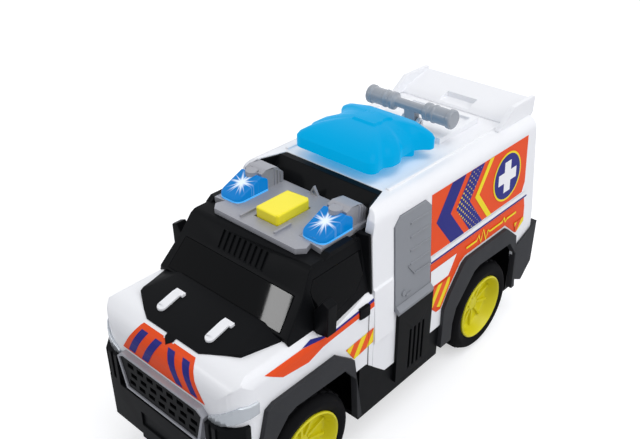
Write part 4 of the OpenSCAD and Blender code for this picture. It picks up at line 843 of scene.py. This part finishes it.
# The box side, which leans in above its crease
SIDE_CREASE = 88.0
SIDE_FRONT, STRIPE_BACK = 17, 131.5
FIELD_LOW, FIELD_HIGH = 109, 150.4
FIELD = [(SIDE_FRONT, FIELD_HIGH), (128.2, FIELD_HIGH), (128.2, 116), (125, FIELD_LOW),
         (SIDE_FRONT, FIELD_LOW)]
BAND = [(SIDE_FRONT, 103), (129, 103), (130.5, 96), (130.5, 84), (122, 78.5), (119.8, 79.2), (105, 91.4),
        (55.4, 91.4), (49.8, 88.8), (36.6, 72.2), (31, 62.5), (26, 62.5), (SIDE_FRONT, 71)]
# Front edge, width and film of each chevron
CHEVRONS = ((22, 15, NAVY), (43, 15, DOTS), (64, 5, YELLOW))
CHEVRON_DEPTH = 16
PLUS_MIDDLE = (103, 129.6)
PLUS_RING, PLUS_DISC, PLUS_ARM, PLUS_HALF = 17.4, 16, 11, 3.9
STRIPE_HIGH, STRIPE_LOW, PIN_STRIPE_LOW = 108, 104.9, 103.6
FRONT_PATCH = [(SIDE_FRONT, 98), (45, 98), (36, 86), (SIDE_FRONT, 86)]
FRONT_HATCH = [(SIDE_FRONT, 84), (38.6, 84), (37.6, 74.8), (31, 64.4), (SIDE_FRONT, 71)]
BACK_HATCH = [(117, 88), (130, 88), (130, 84.6), (122, 79.6), (119.8, 80.6)]
PULSE = [(56, 96.6), (68, 96.6), (70.5, 99.6), (73, 93.6), (76, 101.4), (79.4, 92.6), (82, 98.6), (84, 96.6),
         (100, 96.6), (102, 99), (104, 95), (106, 96.6), (118, 96.6)]
PULSE_WIDTH = 1.5


def side_livery(sign, name):
    """Field, band, chevrons, plus sign, stripes, hatched corners and pulse line of one box side."""
    layers = [(FIELD, ORANGE), (BAND, ORANGE)]
    layers += [(chevron(front, CHEVRON_DEPTH, width, FIELD_LOW, FIELD_HIGH), film)
               for front, width, film in CHEVRONS]
    layers += [
        (disc(PLUS_MIDDLE, PLUS_RING), YELLOW),
        (disc(PLUS_MIDDLE, PLUS_DISC), NAVY),
        (plus(PLUS_MIDDLE, PLUS_ARM, PLUS_HALF), PAPER),
        (stripe(SIDE_FRONT, STRIPE_BACK, STRIPE_HIGH, STRIPE_LOW), PAPER),
        (stripe(SIDE_FRONT, STRIPE_BACK, STRIPE_LOW, PIN_STRIPE_LOW), NAVY),
        (FRONT_PATCH, PAPER),
        (FRONT_HATCH, HATCH),
        (BACK_HATCH, HATCH),
        (ribbon(PULSE, PULSE_WIDTH), YELLOW),
    ]
    cut_vinyl(name, layers, laid_on("box_shell", from_side(sign)), creases=[SIDE_CREASE])


# The cab side, rounded over to the fender above FENDER_BREAK, where film is creased every millimetre
FENDER_BREAK = 105
BAND_CREASES, SEAM_CREASES = 6, 4
DOOR_BACK = -38.6
DOOR_BAND = [(-124, 108.5), (-97, 108.6), (-80, 106.4), (-73, 105.2), (DOOR_BACK, 107), (DOOR_BACK, 103.4),
             (-73, 101.8), (-82, 101), (-93, 97.6), (-112, 100.2)]
DOOR_PIN_STRIPE = [(-73, 106.4), (DOOR_BACK, 108.6), (DOOR_BACK, 107), (-73, 105.2)]
FENDER_PIN_STRIPE = [(-97, 108.8), (-90, 110.2), (-80, 107.4), (-80, 106.2)]
DOOR_HATCH = [(-63, 86.6), (DOOR_BACK, 88.4), (DOOR_BACK, 78), (-55.6, 75.6)]
# The line of painted shade along each door's rear seam: its path, its width and how far it stands off the
# shell
DOOR_SEAM = [(-43.3, 108.2), (-43.3, 90), (-43.3, 62)]
DOOR_SEAM_WIDTH, DOOR_SEAM_ABOVE = 0.4, 0.34


def door_livery(sign, name):
    """Band, pin stripes and hatched corner of one cab door and fender."""
    layers = [(DOOR_BAND, ORANGE), (DOOR_PIN_STRIPE, NAVY), (FENDER_PIN_STRIPE, NAVY), (DOOR_HATCH, HATCH)]
    cut_vinyl(name, layers, laid_on("cab_shell", from_side(sign)),
              creases=[FENDER_BREAK + i for i in range(BAND_CREASES)])


def painted_seam_shade(sign, name):
    """A thin black film behind one cab door: painted shade in place of the door seam's groove."""
    cut_vinyl(name, [(ribbon(DOOR_SEAM, DOOR_SEAM_WIDTH), BLACK_FILM_AND_SEAM_SHADE)], laid_on("cab_shell", from_side(sign)),
              first_mm=DOOR_SEAM_ABOVE, creases=[FENDER_BREAK + i for i in range(SEAM_CREASES)])


# The rounded nose, in mm: its field narrows upwards, with a cut at each top corner and a notch in the middle
NOSE_LOW, NOSE_HIGH = 91.4, 110.4
NOSE_WIDE, NOSE_NARROW = 34, 21.6
NOSE_CUT_OUT, NOSE_CUT_IN, NOSE_CUT_DROP = 0.4, 0.6, 1
NOTCH_HALF, NOTCH_DEPTH = 4.2, 0.4
BAR_TOPS, BAR_WIDTH, BAR_LEAN = (19.6, 8), 5.5, 9
BAR_BELOW_HIGH, BAR_ABOVE_LOW = 2, 1
NOSE_CREASE_STEP, NOSE_CREASES = 1.5, 12


def nose_livery():
    """Field and slanted bars under the hood."""
    field = [(NOSE_WIDE, NOSE_LOW), (NOSE_NARROW + NOSE_CUT_OUT, NOSE_HIGH - NOSE_CUT_DROP),
             (NOSE_NARROW - NOSE_CUT_IN, NOSE_HIGH), (NOTCH_HALF, NOSE_HIGH),
             (NOTCH_HALF, NOSE_HIGH - NOTCH_DEPTH)]
    field += [(-along, up) for along, up in field[::-1]]
    layers = [(field, ORANGE)]
    high, low = NOSE_HIGH - BAR_BELOW_HIGH, NOSE_LOW + BAR_ABOVE_LOW
    for top in BAR_TOPS:
        for sign, _ in SIDES:
            bar = [(top, high), (top - BAR_WIDTH, high), (top - BAR_WIDTH + BAR_LEAN, low),
                   (top + BAR_LEAN, low)]
            layers.append(([(sign * along, up) for along, up in bar], NAVY))
    cut_vinyl("nose_livery", layers, laid_on("cab_shell", Vector((0, 1, 0))),
              creases=[NOSE_LOW + NOSE_CREASE_STEP * i for i in range(1, NOSE_CREASES + 1)])


# Raised corner line and latch on the roller panels
RELIEF_CORNER = [(-6.9, 114.5), (-1.1, 107), (14.6, 106.6)]
RELIEF_LATCH, RELIEF_LATCH_RADIUS = (-11.4, 98), 1.9
RELIEF_HANDLE = [(-9.6, 95.6), (-4.6, 95.6)]
RELIEF_CORNER_WIDTH, RELIEF_HANDLE_WIDTH = 1.0, 1.4


def panel_relief(sign, node, name):
    """The raised marks of one roller panel."""
    grey = FINISH["mid_grey_plastic"]
    marks = [(ribbon(RELIEF_CORNER, RELIEF_CORNER_WIDTH), grey),
             (disc(RELIEF_LATCH, RELIEF_LATCH_RADIUS), grey),
             (ribbon(RELIEF_HANDLE, RELIEF_HANDLE_WIDTH), grey)]
    cut_vinyl(name, marks, laid_on(node, from_side(sign)), first_mm=0.3, step_mm=0.02, film_mm=0.9)


# Pressed fields of the rear doors, in mm: their insets, and the rail between the upper and the lower one
PRESSED_INSET, HINGE_INSET = 8.6, 9.2
RAIL_RISE, RAIL_HALF = 30.8, 3.6


def rear_livery(sign, node, name):
    """Blind window and hatched bars of one rear door."""
    low, high = low_high(node)
    near, far = sorted((abs(low.x), abs(high.x)))
    inner, outer = sign * (near + PRESSED_INSET), sign * (far - HINGE_INSET)
    rail = low.z + RAIL_RISE
    window = stripe(inner, outer, rail + RAIL_HALF, high.z - PRESSED_INSET)
    bars = stripe(inner, outer, low.z + PRESSED_INSET, rail - RAIL_HALF)
    cut_vinyl(name, [(window, BLACK_FILM_AND_SEAM_SHADE), (bars, REAR_HATCH)], laid_on(node, Vector((0, -1, 0))),
              body=BODY_OF[node])


for sign, side in SIDES:
    side_livery(sign, "side_livery_" + side)
    door_livery(sign, "door_livery_" + side)
    painted_seam_shade(sign, "painted_seam_shade_" + side)
    panel_relief(sign, "locker_" + side, "locker_relief_" + side)
    rear_livery(sign, "rear_door_" + side, "rear_livery_" + side)
nose_livery()

# Studio: the floor's size in metres, how much paler the camera sees it, and the world's light on the object
FLOOR_SIZE, FLOOR_LIFT = 8, 0.52
WORLD_LIGHT = 0.5
# The point that the large lamps face, in metres
OBJECT_MIDDLE = (0, 0, 0.1)


def studio_floor():
    """A pale matt floor that the camera sees as near white."""
    bpy.ops.object.select_all(action="DESELECT")
    bpy.ops.mesh.primitive_plane_add(size=FLOOR_SIZE)
    floor = bpy.context.object
    floor.name = "floor"
    material, tree, shader, _ = new_material("pale_floor", Base_Color=linear("#d2d3d6"), Roughness=0.9,
                                             Specular_IOR_Level=0.1, Emission_Color=linear("#ffffff"))
    path = add(tree, "ShaderNodeLightPath")
    lift = add(tree, "ShaderNodeMath", {"operation": "MULTIPLY"}, {1: FLOOR_LIFT},
               {0: (path, "Is Camera Ray")})
    tree.links.new(lift.outputs[0], shader.inputs["Emission Strength"])
    floor.data.materials.append(material)


def studio_world():
    """A world that is white to the camera, in gloss and through glass, and dimmer as a light."""
    world = bpy.data.worlds.new("studio")
    bpy.context.scene.world = world
    world.use_nodes = True
    tree = world.node_tree
    path = add(tree, "ShaderNodeLightPath")
    seen = add(tree, "ShaderNodeMath", {"operation": "MAXIMUM"},
               links={0: (path, "Is Camera Ray"), 1: (path, "Is Glossy Ray")})
    seen = add(tree, "ShaderNodeMath", {"operation": "MAXIMUM"},
               links={0: (seen, 0), 1: (path, "Is Transmission Ray")})
    level = add(tree, "ShaderNodeMapRange", values={"To Min": WORLD_LIGHT, "To Max": 1.0},
                links={"Value": (seen, 0)})
    ground = tree.nodes["Background"]
    ground.inputs["Color"].default_value = linear("#fbfcff")
    tree.links.new(level.outputs["Result"], ground.inputs["Strength"])


def studio_lamp(name, place, power, shape, size, height=0, target=OBJECT_MIDDLE, roll=0, mirrored=True):
    """An area lamp, in metres and watts; one that isn't mirrored lights the object but shows in no gloss."""
    data = bpy.data.lights.new(name, "AREA")
    data.shape = shape
    data.size = size
    if height:
        data.size_y = height
    data.energy = power
    made = bpy.data.objects.new(name, data)
    bpy.context.scene.collection.objects.link(made)
    made.location = place
    made.rotation_mode = "QUATERNION"
    aimed = (Vector(target) - Vector(place)).to_track_quat("-Z", "Y")
    made.rotation_quaternion = aimed @ Quaternion((0, 0, 1), math.radians(roll))
    made.visible_glossy = mirrored


# The photograph's view: place, lens and sensor in mm, turn from the front and rise in degrees
CAMERA_PLACE = Vector((271.51, -323.25, 374.71))
CAMERA_LENS, CAMERA_SENSOR = 44.50, 36
CAMERA_TURN, CAMERA_RISE = 42.098, 31.044


def camera():
    """The camera that takes the photograph's view."""
    turn, rise = math.radians(CAMERA_TURN), math.radians(CAMERA_RISE)
    back = Vector((math.sin(turn) * math.cos(rise), -math.cos(turn) * math.cos(rise), math.sin(rise)))
    data = bpy.data.cameras.new("camera")
    data.lens = CAMERA_LENS
    data.sensor_width = CAMERA_SENSOR
    made = bpy.data.objects.new("camera", data)
    bpy.context.scene.collection.objects.link(made)
    made.location = CAMERA_PLACE * MM
    made.rotation_mode = "QUATERNION"
    made.rotation_quaternion = (-back).to_track_quat("-Z", "Y")
    bpy.context.scene.camera = made


studio_floor()
studio_world()
studio_lamp("key", place=(0.5, -0.05, 2.2), power=16, shape="DISK", size=1.6)
studio_lamp("back", place=(-1.3, 1.5, 0.9), power=10, shape="DISK", size=1.6, mirrored=False)
studio_lamp("fill", place=(1.7, 0.3, 1.1), power=12.5, shape="DISK", size=1.6, mirrored=False)
# A narrow strip whose image stands in the windshield's left half
studio_lamp("strip", place=(-0.477, -0.704, 0.542), power=0.5, shape="RECTANGLE", size=0.039, height=0.091,
            target=(0.037, -0.094, 0.127), roll=32)
camera()
bpy.context.scene.view_settings.view_transform = "Standard"
